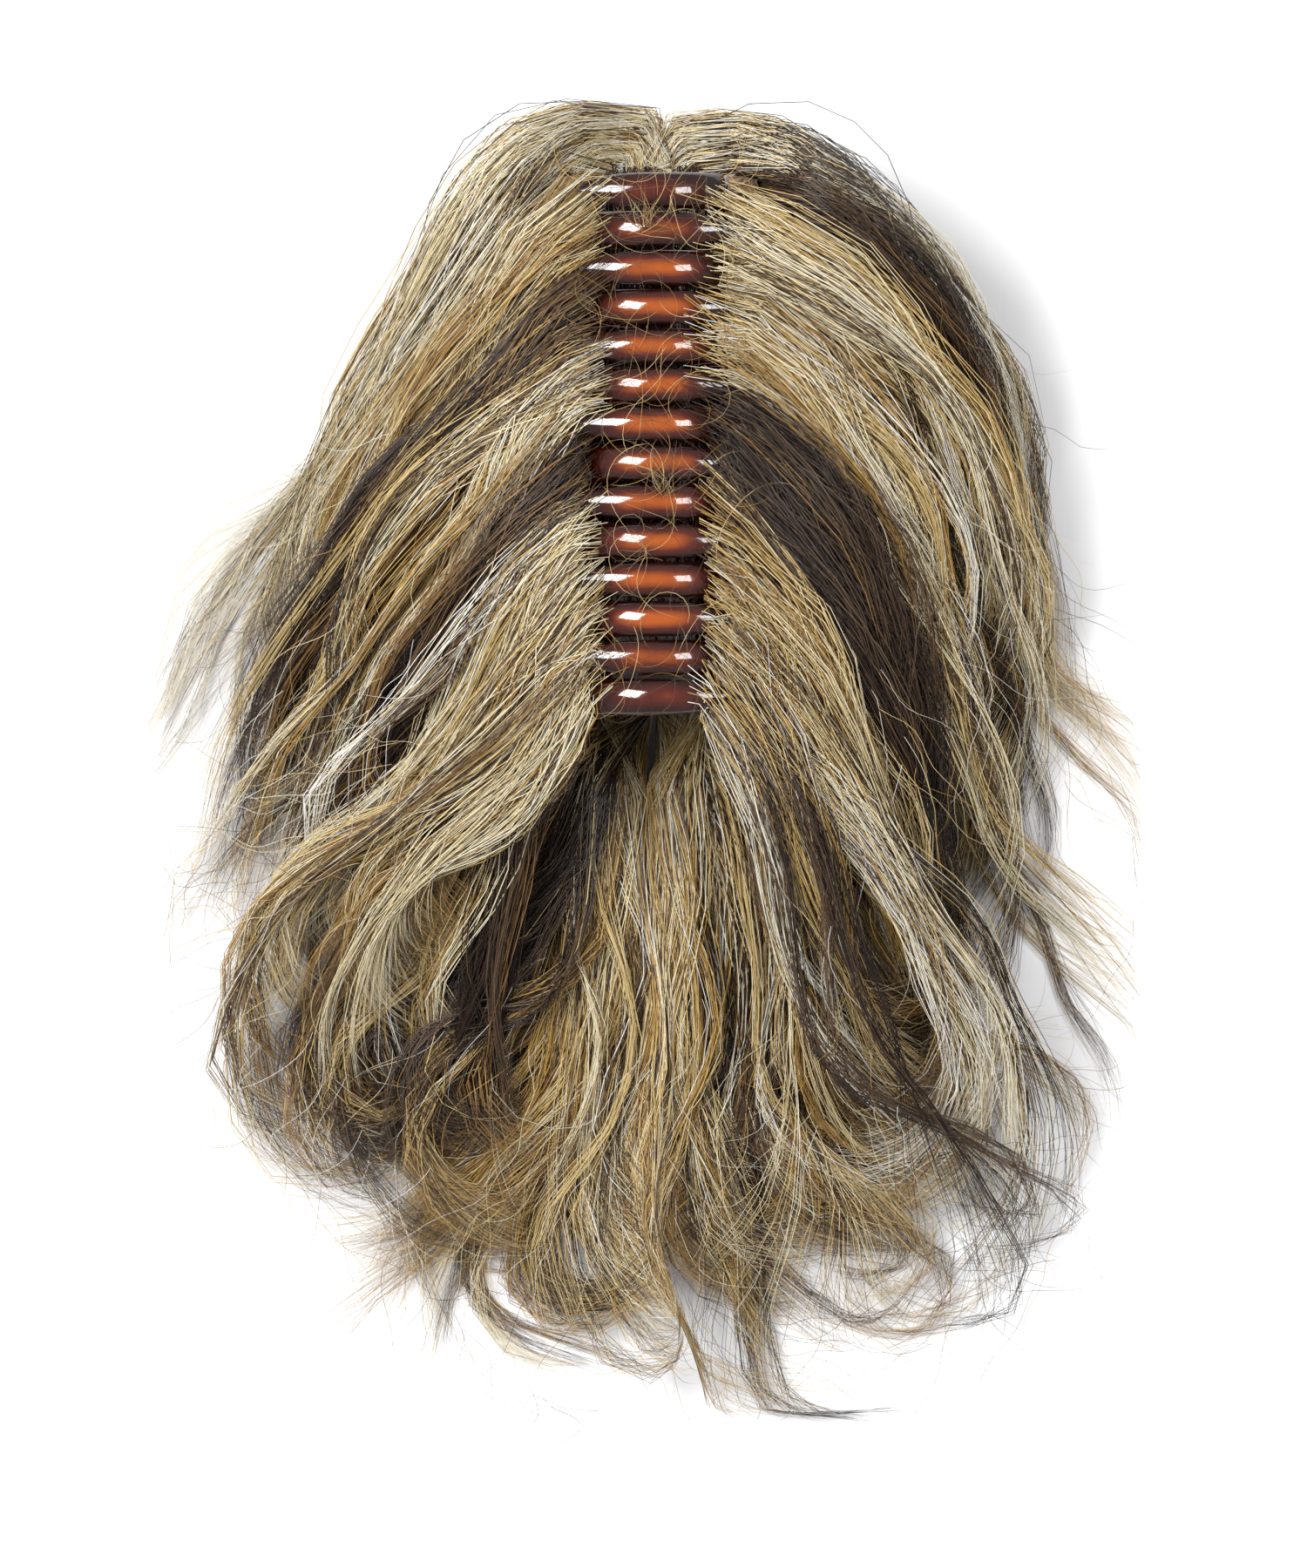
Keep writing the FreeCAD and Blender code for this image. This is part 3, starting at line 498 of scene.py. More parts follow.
def strand_shade_group():
    """Colour and roughness of hair: the shade is read across the map, and each fibre's sides up it."""
    found = bpy.data.node_groups.get("strand shade")
    if found:
        return found
    group, inside, outside = new_group(
        "strand shade",
        (("Map", "NodeSocketVector", None), ("Painted Side Shade", "NodeSocketFloat", 0.3),
         ("Streaks", "NodeSocketFloat", 0.25)),
        (("Color", "NodeSocketColor", None), ("Roughness", "NodeSocketFloat", None)),
    )
    place, painted_side_shade, streaks = (inside.outputs[name] for name in ("Map", "Painted Side Shade", "Streaks"))
    across, up, _ = split_place(group, place)
    shade = ramp(group, across, SCALE_COLOURS)
    # One side of each fibre is darkened as painted shade, and slow streaks run along it.
    shaded_side = map_range(group, up, (0.0, 0.35), (painted_side_shade, 0.0))
    inputs = {0: place, 1: (SHADE_COLUMNS, 5.0, 0.0)}
    stretched = add_node(group, "ShaderNodeVectorMath", inputs, operation="MULTIPLY").outputs[0]
    mottle = noise(group, stretched, 1.0)
    streak = map_range(group, mottle, (0.3, 0.7), (0.0, streaks))
    kept = scalar(group, "SUBTRACT", 1.0, scalar(group, "ADD", shaded_side, streak))
    shaded = add_node(group, "ShaderNodeVectorMath", {0: shade, "Scale": kept}, operation="SCALE").outputs[0]
    feed(group, outside, {"Color": shaded, "Roughness": map_range(group, mottle, (0.0, 1.0), (0.28, 0.42))})
    return group


def hair_material(name, painted_side_shade, streaks):
    """Hair whose colour is read from each strand's place on the map."""
    found = bpy.data.materials.get(name)
    if found:
        return found
    material, tree, shader = new_material(name)
    place = add_node(tree, "ShaderNodeUVMap", {}, uv_map=MAP_NAMES[0]).outputs["UV"]
    inputs = {"Map": place, "Painted Side Shade": painted_side_shade, "Streaks": streaks}
    shade = add_node(tree, "ShaderNodeGroup", inputs, node_tree=strand_shade_group())
    feed(tree, shader, {"Base Color": shade.outputs["Color"], "Roughness": shade.outputs["Roughness"],
                        "Specular IOR Level": 0.55, "IOR": 1.55})
    return material


# How dark the painted shade on one side of each fibre is, and how strong its streaks are.
HAIR_FINISHES = {
    "hair_pale": (0.20, 0.22),
    "hair_straw": (0.25, 0.28),
    "hair_brown": (0.15, 0.30),
}


def node_slot(node):
    """The record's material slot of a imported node."""
    for part in frame["record"]["subparts"]:
        if part["node"] == node:
            return part["material_slot"]
    raise ValueError(f"no sub-part named {node}")


# --- Hair --------------------------------------------------------------------------------------

FINE_STEPS = 4  # steps worked out between two points that are kept
CURL_START = 0.58  # share of a strand after which its tip curls
UP, DOWN = math.radians(90), math.radians(270)  # headings along the clip
INNER_RADIUS = 12.8  # mm, inside which hairs lie along the hinge


def smooth(value):
    """A smooth step of values from 0 to 1."""
    value = np.clip(value, 0.0, 1.0)
    return value * value * (3.0 - 2.0 * value)


def even_line(line, steps=64):
    """The middle line and half width as evenly spaced rows, smoothly through the given ones."""
    rows = np.array(line, float)
    padded = np.vstack([2 * rows[0] - rows[1], rows, 2 * rows[-1] - rows[-2]])
    fine = []
    for before, start, end, after in zip(padded, padded[1:], padded[2:], padded[3:]):
        share = np.linspace(0, 1, 16, endpoint=False)[:, None]
        fine.append(0.5 * (2 * start + (end - before) * share
                           + (2 * before - 5 * start + 4 * end - after) * share**2
                           + (3 * start - before - 3 * end + after) * share**3))
    fine = np.vstack([*fine, rows[-1:]])
    run = np.concatenate([[0], np.cumsum(np.hypot(*np.diff(fine[:, :2], axis=0).T))])
    places = np.linspace(0, run[-1], steps)
    return np.column_stack([np.interp(places, run, column) for column in fine.T]), run[-1]


def crest(travelled, reach, top):
    """Height of the hair's outer surface after this much travel from the clip."""
    return EDGE_HEIGHT + (top - EDGE_HEIGHT) * np.cos(np.clip(travelled / reach, 0, 1) * math.pi / 2)


def under_the_way(reach):
    """How high hair off the clip's ends may lie this far from the middle, with the way through kept open."""
    inside = np.clip(reach, 0, WAY_EDGE)
    return SHELL_MIDDLE - np.sqrt(WAY_RADIUS**2 - inside**2) + 1.5 * np.clip(reach - WAY_EDGE, 0, None)


def wave(rng, number, travelled, shortest, longest, group_of=None):
    """A slow swing of unit height along each line, the same for all lines of a group."""
    length = rng.uniform(shortest, longest, (number, 1))
    phase = rng.uniform(0, 2 * math.pi, (number, 1))
    if group_of is not None:
        length, phase = length[group_of], phase[group_of]
    return np.sin(travelled * 2 * math.pi / length + phase)


class Kin:
    """Which clump, and bunch of clumps, each strand of a tress is in, and what those share by chance."""

    def __init__(self, rng, count, clump_strands):
        self.rng = rng
        clumps = max(5, count // clump_strands)
        bunches = max(4, clumps // 5)
        clump_of = rng.integers(0, clumps, count)
        bunch_of = rng.integers(0, bunches, clumps)[clump_of]
        self.levels = {
            "bunch": (bunches, bunch_of),
            "clump": (clumps, clump_of),
            "strand": (count, np.arange(count)),
        }

    def normal(self, level, spread):
        """One normal amount for each bunch, clump or strand, as a column over the strands."""
        number, group_of = self.levels[level]
        return self.rng.normal(0, spread, number)[group_of][:, None]

    def uniform(self, level, low, high):
        """One even amount for each bunch, clump or strand, as a column over the strands."""
        number, group_of = self.levels[level]
        return self.rng.uniform(low, high, number)[group_of][:, None]

    def wave(self, level, travelled, shortest, longest):
        """One swing for each bunch, clump or strand, along every strand."""
        number, group_of = self.levels[level]
        return wave(self.rng, number, travelled, shortest, longest, group_of)


def pick_shades(rng, shades, clump_of, depth):
    """A shade for each strand: mostly its clump's, deeper ones darker as painted shade, with some strays."""
    count, clumps = len(clump_of), clump_of.max() + 1
    weights = np.array([weight for name, weight in shades], float)
    weights /= weights.sum()
    values = np.array([SHADES[name] for name, weight in shades])
    of_clump = values[rng.choice(len(values), clumps, p=weights)]
    own = values[rng.choice(len(values), count, p=weights)]
    stray = rng.random(count) < 0.33
    # Deeper strands are darkened: painted shade in the hair under the top layer.
    picked = np.where(stray, own, of_clump[clump_of]) - 0.24 * depth + rng.normal(0, 0.035, count)
    return np.clip(picked, 0.0, 0.999)


def step_shares(spec, places):
    """Shares of a strand's length in fine steps: closest at its tip, or at its root where that bends most."""
    even = np.linspace(0, 1, FINE_STEPS * (places - 1) + 1)
    if spec.get("end") == "crown":
        return even**1.45
    return 1 - (1 - even) ** 1.25


def follow(line, reach_of, shares):
    """Each strand's travel along a tress's middle line, and the points, headings and half widths there."""
    rows, length = even_line(line)
    travelled = shares * (length * reach_of[0] * reach_of[1])
    tangent = np.gradient(rows[:, :2], axis=0)
    turned = np.unwrap(np.arctan2(tangent[:, 1], tangent[:, 0]))
    grid = np.linspace(0, length, len(rows))
    x, y, half_width, heading = (np.interp(travelled, grid, values) for values in (*rows.T, turned))
    middle = np.stack([x, y], -1)
    beyond = np.clip(travelled - length, 0, None)[..., None]
    middle += np.stack([np.cos(heading), np.sin(heading)], -1) * beyond
    return travelled, middle, heading, half_width


def wander(spec, side, kin, settings, share, travelled, heading):
    """How far strands drift from their tress's line as they swing and then curl, and how wild each one is."""
    curl = spec["curl"] * (1.6 if spec.get("end") == "bottom" else 1.0)
    loose = abs(spec["curl"])
    turn = np.radians(-side * (curl + kin.normal("bunch", 10 + 0.5 * loose))
                      + kin.normal("clump", 8 + 0.16 * loose) + kin.normal("strand", 2.5))
    curled = turn * np.clip((share - CURL_START) / (1 - CURL_START), 0, 1) ** 1.25
    swing = (0.45 + share) * (math.radians(10) * kin.wave("bunch", travelled, 50, 110)
                              + math.radians(9) * kin.wave("clump", travelled, 30, 75))
    is_wild = kin.uniform("strand", 0, 1) < settings.strays
    wild = np.where(is_wild, kin.uniform("strand", 2.5, 6.0), 1.0)
    own = wild * math.radians(settings.frizz) * (0.5 + share) * kin.wave("strand", travelled, 20, 60)
    aim = heading + curled + swing + own
    change = np.stack([np.cos(aim) - np.cos(heading), np.sin(aim) - np.sin(heading)], -1)
    change = (change[:, 1:] + change[:, :-1]) / 2 * np.diff(travelled, axis=1)[..., None]
    return np.concatenate([np.zeros((len(change), 1, 2)), np.cumsum(change, axis=1)], 1), wild


def root_points(spec, side, kin, up, free, own_across, deep):
    """Where strands are rooted: in a row up the jaw's wall, or across the end of the way through."""
    low, high = spec["root"]
    uneven = kin.normal("clump", 1)[:, 0]
    if spec.get("end"):
        across = side * (np.abs(free) * 9 + 0.4)
        row = np.full_like(across, high - 2.5 if spec["end"] == "crown" else END_ROOTS)
        return np.stack([across, row, under_the_way(np.abs(across)) - 1.5 * np.clip(deep, 0, 1)], -1)
    row = (low + high) / 2 + up * (high - low) / 2 * np.clip(free + own_across * 0.1, -1.1, 1.1)
    outer = np.clip(1 - deep, 0, 1)
    first, last = spec["angle"]
    angle = np.radians(first + (last - first) * np.clip(deep, 0, 1)) + np.radians(7) * uneven * outer
    radius = SHELL_RADIUS + (1.5 + 0.5 * np.clip(uneven, 0, 2)) * outer
    return np.stack([side * radius * np.cos(angle), row, SHELL_MIDDLE + radius * np.sin(angle)], -1)


def grow(spec, side, rng, settings):
    """The strands of one tress as points (strand, place, xyz) in mm, with the clump and depth of each."""
    count = max(8, int(spec["strands"] * settings.fullness * spec.get("share", 1.0)))
    kin = Kin(rng, count, settings.clump_strands)
    reach_of = kin.uniform("clump", 0.80, 1.08), kin.uniform("strand", 0.86, 1.0)
    shares = step_shares(spec, settings.places)
    travelled, middle, heading, half_width = follow(spec["line"], reach_of, shares)
    share = np.broadcast_to(shares, travelled.shape)
    drift, wild = wander(spec, side, kin, settings, share, travelled, heading)

    # Strands start spread out and draw together into their clump towards the tip.
    clump_across = np.clip(kin.uniform("bunch", -0.85, 0.85) + kin.normal("clump", 0.28), -1, 1)
    clump_depth = kin.uniform("clump", 0, 1)
    own_across, own_depth = kin.normal("strand", 1), kin.normal("strand", 1)
    free = kin.uniform("strand", -1, 1)
    spread = 0.24 * (1 - smooth(share / 0.8)) + 0.05
    place = free + (clump_across - free) * smooth(share / 0.45)
    sideways = half_width * (place + own_across * spread) + own_across * 0.2 * share
    across = np.stack([-np.sin(heading), np.cos(heading)], -1)
    flat = middle + across * sideways[..., None] + drift

    # Deeper strands lie lower, and all fall away from the clip.
    deep = np.clip(clump_depth + own_depth * (0.22 - 0.12 * share), -0.15, 1.1)
    rise = wild * (0.3 + share) * 0.5 * kin.wave("strand", travelled, 26, 70)
    rise = rise + share**2 * kin.normal("clump", 1.2)
    surface = crest(travelled, spec["reach"], spec.get("top", HAIR_TOP)) - spec["sink"]
    height = surface - deep * spec["depth"] * (1 - 0.5 * share) + rise
    if spec.get("end"):
        height = np.minimum(height, under_the_way(np.abs(flat[..., 0])) - 2.0 * deep)

    up = np.sign(across[0, 0, 1])
    root = root_points(spec, side, kin, up, free[:, 0], own_across[:, 0], deep[:, 0])
    blend = smooth(travelled / (5.0 if spec.get("end") else 14.0))[..., None]
    strands = np.concatenate([flat, height[..., None]], -1)
    strands = root[:, None, :] * (1 - blend) + strands * blend
    return keep_clear(strands[:, ::FINE_STEPS], side, rng), kin.levels["clump"][1], clump_depth[:, 0]


def parting(y):
    """Where the two halves' hair meets below the clip: near the middle, then swinging right at the tips."""
    sway = 2.6 * np.sin(y / 11) * smooth((END_ROOTS - y) / 20)
    return 9.0 * smooth((-70 - y) / 35) + sway


def hold_within(values, limits):
    """Draws what lies past the limits most of the way back to them."""
    low, high = limits
    values = np.where(values > high, high + (values - high) * 0.35, values)
    return np.where(values < low, low + (values - low) * 0.35, values)


def keep_clear(strands, side, rng):
    """Keeps strands out of the jaws, off the floor, inside the outline and out of the other half's way."""
    x, y, z = strands[..., 0], strands[..., 1], strands[..., 2]
    each = (len(strands), 1)
    limit = SHELL_RADIUS + rng.uniform(0, 0.8, each)
    beside = (y > CLIP_ENDS[0]) & (y < CLIP_ENDS[1]) & (z > SHELL_LOW)
    distance = np.hypot(x, z - SHELL_MIDDLE)
    scale = np.where(beside & (distance < limit), limit / np.maximum(distance, 1e-6), 1.0)
    x = x * scale
    z = SHELL_MIDDLE + (z - SHELL_MIDDLE) * scale
    z = np.maximum(z, FLOOR_GAP + rng.uniform(0, 0.8, each))
    # Hair that strays over the middle is held back softly.
    over = np.clip(-side * x - 3, 0, None)
    x = x + side * over * 0.7
    # Below the clip it lies on its own side of the parting, or just past it.
    own = side * (x - parting(y))
    room = PARTING_SOFTNESS + PARTING_OVERLAP
    squeezed = room * np.exp(np.minimum((own - PARTING_SOFTNESS) / room, 0)) - PARTING_OVERLAP
    x = np.where((y < END_ROOTS) & (own < PARTING_SOFTNESS), parting(y) + side * squeezed, x)
    wedge = WEDGE_TOP - WEDGE_SLOPE * np.clip(side * x, 0, None)
    z = np.maximum(z, wedge - rng.uniform(0, 1.5, each))
    return np.stack([hold_within(x, OUTLINE_X), hold_within(y, OUTLINE_Y), z], -1)


def fibre_profile():
    """The three-cornered section that every strand is drawn with."""
    curve = bpy.data.curves.new("fibre section", "CURVE")
    curve.dimensions = "2D"
    spline = curve.splines.new("POLY")
    spline.points.add(2)
    for number, point in enumerate(spline.points):
        turn = -2 * math.pi * number / 3
        point.co = (math.cos(turn), math.sin(turn), 0, 1)
    spline.use_cyclic_u = True
    section = bpy.data.objects.new("fibre section", curve)
    bpy.context.scene.collection.objects.link(section)
    return section


def strands_to_mesh(name, strands, widths, columns):
    """A closed mesh of tapered strands, each on its own column of the map."""
    curve = bpy.data.curves.new(name, "CURVE")
    curve.dimensions = "3D"
    curve.twist_mode = "MINIMUM"
    section = fibre_profile()
    curve.bevel_mode = "OBJECT"
    curve.bevel_object = section
    curve.use_fill_caps = True
    for _ in range(SHADE_COLUMNS):
        curve.materials.append(None)
    places = strands.shape[1]
    rows = np.ones((len(strands), places, 4), np.float32)
    rows[..., :3] = strands * MM
    for row, width, column in zip(rows, widths.astype(np.float32) * MM, columns):
        spline = curve.splines.new("POLY")
        spline.points.add(places - 1)
        spline.points.foreach_set("co", row.ravel())
        spline.points.foreach_set("radius", width)
        spline.material_index = int(column)
    drawn = bpy.data.objects.new(name, curve)
    bpy.context.scene.collection.objects.link(drawn)
    graph = bpy.context.evaluated_depsgraph_get()
    graph.update()
    mesh = bpy.data.meshes.new_from_object(drawn.evaluated_get(graph), depsgraph=graph)
    for used in (drawn, section):
        data = used.data
        bpy.data.objects.remove(used)
        bpy.data.curves.remove(data)
    return mesh


def map_strands(mesh):
    """Lays every strand on its shade's column, its length across the column and its section up it."""
    column = np.zeros(len(mesh.polygons), np.int32)
    mesh.polygons.foreach_get("material_index", column)
    corners = np.zeros(len(mesh.polygons), np.int32)
    mesh.polygons.foreach_get("loop_total", corners)
    drawn = np.zeros(len(mesh.loops) * 2, np.float32)
    mesh.uv_layers[0].data.foreach_get("uv", drawn)
    drawn = drawn.reshape(-1, 2)
    placed = np.empty_like(drawn)
    placed[:, 0] = (np.repeat(column, corners) + 0.25 + 0.5 * drawn[:, ALONG]) / SHADE_COLUMNS
    placed[:, 1] = 0.02 + 0.96 * drawn[:, AROUND]
    while mesh.uv_layers:
        mesh.uv_layers.remove(mesh.uv_layers[0])
    for name in MAP_NAMES:
        layer = mesh.uv_layers.new(name=name)
        layer.data.foreach_set("uv", placed.ravel())
    mesh.polygons.foreach_set("material_index", np.zeros(len(mesh.polygons), np.int32))


def join_ends(mesh):
    """Joins each strand's end caps to it and turns every face outwards."""
    work = bmesh.new()
    work.from_mesh(mesh)
    bmesh.ops.remove_doubles(work, verts=work.verts, dist=1e-7)
    bmesh.ops.recalc_face_normals(work, faces=work.faces)
    work.to_mesh(mesh)
    work.free()


def hair_object(name, strands, widths, shades, slot, body):
    """A piece of hair that rides on a body, drawn from its strands."""
    mesh = strands_to_mesh(name, strands, widths, (shades * SHADE_COLUMNS).astype(int))
    map_strands(mesh)
    join_ends(mesh)
    mesh.materials.clear()
    mesh.materials.append(hair_material(slot.replace("_", " "), *HAIR_FINISHES[slot]))
    piece = bpy.data.objects.new(name, mesh)
    bpy.context.scene.collection.objects.link(piece)
    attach(piece, body)
    return piece


def strand_widths(rng, count, settings, share=1.0):
    """Half widths along each strand, thinner towards its tip."""
    taper = np.interp(np.linspace(0, 1, settings.places), [0, 0.1, 0.6, 1.0], [0.8, 1.0, 0.85, 0.2])
    return share * settings.strand_width / 2 * rng.uniform(0.7, 1.2, (count, 1)) * taper[None, :]


def lock_of_hair(node, settings, rng):
    """One lock of hair that stands for a packed lock."""
    side = LEFT if "left" in node else RIGHT
    grown, widths, shades = [], [], []
    for spec in TRESSES[node]:
        strands, clump_of, depth = grow(spec, side, rng, settings)
        grown.append(strands)
        widths.append(strand_widths(rng, len(strands), settings))
        shades.append(pick_shades(rng, spec["shades"], clump_of, depth))
    joined = [np.concatenate(rows) for rows in (grown, widths, shades)]
    piece = hair_object(f"hair_{node}", *joined, node_slot(node), f"{SIDE_NAMES[side]}_half")
    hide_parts(node)


def loose_arcs(rng, start, heading, length, bend, places):
    """Single hairs as flat arcs that waver a little: their points and the travel to each."""
    travelled = np.linspace(0, 1, places)[None, :] * length[:, None]
    turn = heading[:, None] + bend[:, None] * travelled + 0.3 * wave(rng, len(start), travelled, 8, 30)
    step = np.stack([np.cos(turn), np.sin(turn)], -1) * (length / (places - 1))[:, None, None]
    return start[:, None] + np.cumsum(step, axis=1) - step, travelled


def either_way(rng, count, tightest, widest):
    """Bends to either side, as one over a radius between these."""
    return np.where(rng.random(count) < 0.5, -1, 1) / rng.uniform(tightest, widest, count)


def lift_to(flat, height):
    """Flat points at these heights."""
    return np.concatenate([flat, height[..., None]], -1)


def tangled_hairs(rng, side, count, places):
    """Loose loops that lie over the teeth, thickest at the top, with a tuft that pokes up between them."""
    along = 98 - 90 * rng.random(count) ** 1.3
    start = np.stack([side * rng.uniform(0, 13, count), along], -1)
    heading = rng.uniform(0, 2 * math.pi, count)
    length = rng.uniform(6, 26, count)
    bend = either_way(rng, count, 3, 16)
    tuft = np.arange(count) < count // 4
    start[tuft] = np.array(TUFTS[side]) + rng.normal(0, 0.8, (tuft.sum(), 2))
    heading[tuft] = UP + rng.normal(0, 0.7, tuft.sum())
    length[tuft] = rng.uniform(3, 9, tuft.sum())
    flat, travelled = loose_arcs(rng, start, heading, length, bend, places)
    height = TEETH_TOP + rng.uniform(0.2, 2.2, (count, 1)) + 0.5 * wave(rng, count, travelled, 6, 20)
    return lift_to(flat, height - 0.5 * np.clip(np.abs(flat[..., 0]) - 10, 0, 8))


def flyaway_hairs(rng, side, count, places):
    """Single hairs that leave the outer locks at an angle, most of them near the tips."""
    outer = [node for node in sorted(TRESSES) if SIDE_NAMES[side] in node and "under" not in node]
    specs = [spec for node in outer for spec in TRESSES[node]]
    leaves = []
    for _ in range(count):
        spec = specs[rng.integers(len(specs))]
        rows, length = even_line(spec["line"])
        place = int(rng.uniform(0.25, 0.97) ** 0.7 * (len(rows) - 2))
        along = rows[place + 1, :2] - rows[place, :2]
        along /= np.hypot(*along)
        across = np.array([-along[1], along[0]])
        start = rows[place, :2] + across * rng.uniform(-1, 1) * rows[place, 2]
        heading = math.atan2(along[1], along[0]) + rng.normal(0, 0.3)
        leaves.append((*start, heading, place / len(rows) * length, spec.get("top", HAIR_TOP) - spec["sink"]))
    x, y, heading, gone, top = np.array(leaves).T
    length = rng.uniform(10, 38, count)
    bend = either_way(rng, count, 10, 60)
    flat, travelled = loose_arcs(rng, np.stack([x, y], -1), heading, length, bend, places)
    surface = crest(gone[:, None] + travelled, 120.0, top[:, None])
    return lift_to(flat, surface + rng.uniform(0, 3, (count, 1)))


def inner_hairs(rng, side, count, places):
    """Hairs that lie along the hinge under the teeth, seen through the gaps between them."""
    start = np.stack([side * rng.uniform(0, 8, count), 101 - 67 * rng.random(count) ** 1.6], -1)
    heading = DOWN + rng.normal(0, 0.25, count)
    bend = either_way(rng, count, 60, 200)
    flat, _ = loose_arcs(rng, start, heading, rng.uniform(15, 22, count), bend, places)
    depth = np.sqrt(np.clip(INNER_RADIUS**2 - flat[..., 0] ** 2, 1, None))
    return lift_to(flat, SHELL_MIDDLE - depth + rng.uniform(0, 3, (count, 1)))


def stray_hairs(side, settings):
    """The loose hairs of one half."""
    rng = np.random.default_rng([7, side + 1])
    places = settings.places
    tangled = tangled_hairs(rng, side, settings.tangles, places)
    flying = keep_clear(flyaway_hairs(rng, side, settings.flyaways, places), side, rng)
    inner = inner_hairs(rng, side, 2 * settings.tangles, places)
    every = list(SHADES.values())
    kinds = (
        ("tangled", tangled, 0.5, every[:6]),
        ("flyaway", flying, 0.5, every),
        # Inner hairs take only the darkest shades and are drawn thick: painted shade under the teeth.
        ("inner", inner, 2.6, every[:3]),
    )
    word = SIDE_NAMES[side]
    for name, strands, width, shades in kinds:
        widths = strand_widths(rng, len(strands), settings, width)
        picked = rng.choice(shades, len(strands))
        hair_object(f"{name}_hairs_{word}", strands, widths, picked, "hair_straw", f"{word}_half")


class HairSettings(bpy.types.PropertyGroup):
    """Sizes that shape the hair."""

    strand_width: bpy.props.FloatProperty(
        name="Strand width", description="Width of a strand near its root, in mm",
        default=0.185, min=0.05, max=1.0)
    fullness: bpy.props.FloatProperty(
        name="Fullness", description="Share of the full number of strands", default=0.77, min=0.05, max=2.0)
    clump_strands: bpy.props.IntProperty(
        name="Strands to a clump", description="How many strands draw together at their tips",
        default=24, min=2, max=100)
    places: bpy.props.IntProperty(
        name="Points on a strand", description="How many points bend each strand", default=14, min=6, max=24)
    frizz: bpy.props.FloatProperty(
        name="Frizz", description="How far single strands turn from their clump, in degrees",
        default=2.6, min=0.0, max=30.0)
    strays: bpy.props.FloatProperty(
        name="Strays", description="Share of strands that wander widely",
        default=0.06, min=0.0, max=1.0, subtype="FACTOR")
    tangles: bpy.props.IntProperty(
        name="Tangles", description="Loose hairs over each jaw's teeth, with twice as many under them",
        default=150, min=8, max=2000)
    flyaways: bpy.props.IntProperty(
        name="Flyaways", description="Single hairs that leave each half's locks",
        default=520, min=8, max=4000)


def grow_family(family):
    """Grows every lock whose name starts with this word, each from its own seed."""
    for number, node in enumerate(sorted(TRESSES)):
        if node.startswith(family):
            rng = np.random.default_rng([len(family), number])
            lock_of_hair(node, bpy.context.scene.hairpiece_hair, rng)


class HAIRPIECE_OT_crown_hair(bpy.types.Operator):
    """Grow the hair sewn over the clip's top end"""

    bl_idname = "hairpiece.crown_hair"
    bl_label = "Crown hair"

    def execute(self, context):
        grow_family("crown")
        return {"FINISHED"}


class HAIRPIECE_OT_side_hair(bpy.types.Operator):
    """Grow the locks sewn along both jaws"""

    bl_idname = "hairpiece.side_hair"
    bl_label = "Side hair"

    def execute(self, context):
        grow_family("side")
        return {"FINISHED"}


class HAIRPIECE_OT_bottom_hair(bpy.types.Operator):
    """Grow the hair that falls from the clip's bottom end"""

    bl_idname = "hairpiece.bottom_hair"
    bl_label = "Bottom hair"

    def execute(self, context):
        grow_family("bottom")
        return {"FINISHED"}


class HAIRPIECE_OT_under_hair(bpy.types.Operator):
    """Grow the under layer that fills the space down to the floor"""

    bl_idname = "hairpiece.under_hair"
    bl_label = "Under hair"

    def execute(self, context):
        grow_family("under")
        return {"FINISHED"}


class HAIRPIECE_OT_stray_hairs(bpy.types.Operator):
    """Scatter loose hairs over and under the teeth and round the locks"""

    bl_idname = "hairpiece.stray_hairs"
    bl_label = "Stray hairs"

    def execute(self, context):
        for side in SIDE_NAMES:
            stray_hairs(side, context.scene.hairpiece_hair)
        return {"FINISHED"}


# --- Clip --------------------------------------------------------------------------------------

# Sizes and places in mm.
TAPE_REACH, THREAD_REACH = 45, 42  # to either side of the clip's middle
TAPE_GAP, RIB_HEIGHT = 0.35, 0.16  # how far a tape lies off the jaw, and its ribs off that
END_TAPES = {"crown": 100.0, "bottom": 5.6}  # along the clip
END_TAPE_RADIUS, END_TAPE_WIDTH, END_TAPE_RUN = 14.6, 2.4, 20.0
THREAD_RADIUS, LOOP_RADIUS = 0.3, 1.0


class ClipSettings(bpy.types.PropertyGroup):
    """Colours of the clip."""

    # The colour of the painted glow along the middle of the teeth.
    amber: bpy.props.FloatVectorProperty(
        name="Amber", description="Glow along the middle of the teeth",
        default=(0.36, 0.075, 0.006), min=0.0, max=1.0, size=3, subtype="COLOR")
    # Red-brown between the painted glow and the dark ends.
    mahogany: bpy.props.FloatVectorProperty(
        name="Mahogany", description="Red-brown between the glow and the dark ends",
        default=(0.085, 0.010, 0.003), min=0.0, max=1.0, size=3, subtype="COLOR")
    treacle: bpy.props.FloatVectorProperty(
        name="Treacle", description="Deep colour of the plates and tooth ends",
        default=(0.014, 0.002, 0.001), min=0.0, max=1.0, size=3, subtype="COLOR")


class WeftSettings(bpy.types.PropertyGroup):
    """Sizes of the wefts."""

    gather: bpy.props.FloatProperty(
        name="Gather", description="From one rib of the tape to the next, in mm",
        default=2.2, min=0.5, max=10.0)
    tape_thickness: bpy.props.FloatProperty(
        name="Tape thickness", description="Thickness of the tape, in mm", default=0.4, min=0.1, max=2.0)
    upper_tape: bpy.props.FloatVectorProperty(
        name="Upper tape", description="Lowest and highest angle of the upper tape, in degrees",
        default=(14.0, 44.0), size=2)
    lower_tape: bpy.props.FloatVectorProperty(
        name="Lower tape", description="Lowest and highest angle of the lower tape, in degrees",
        default=(-32.0, 8.0), size=2)


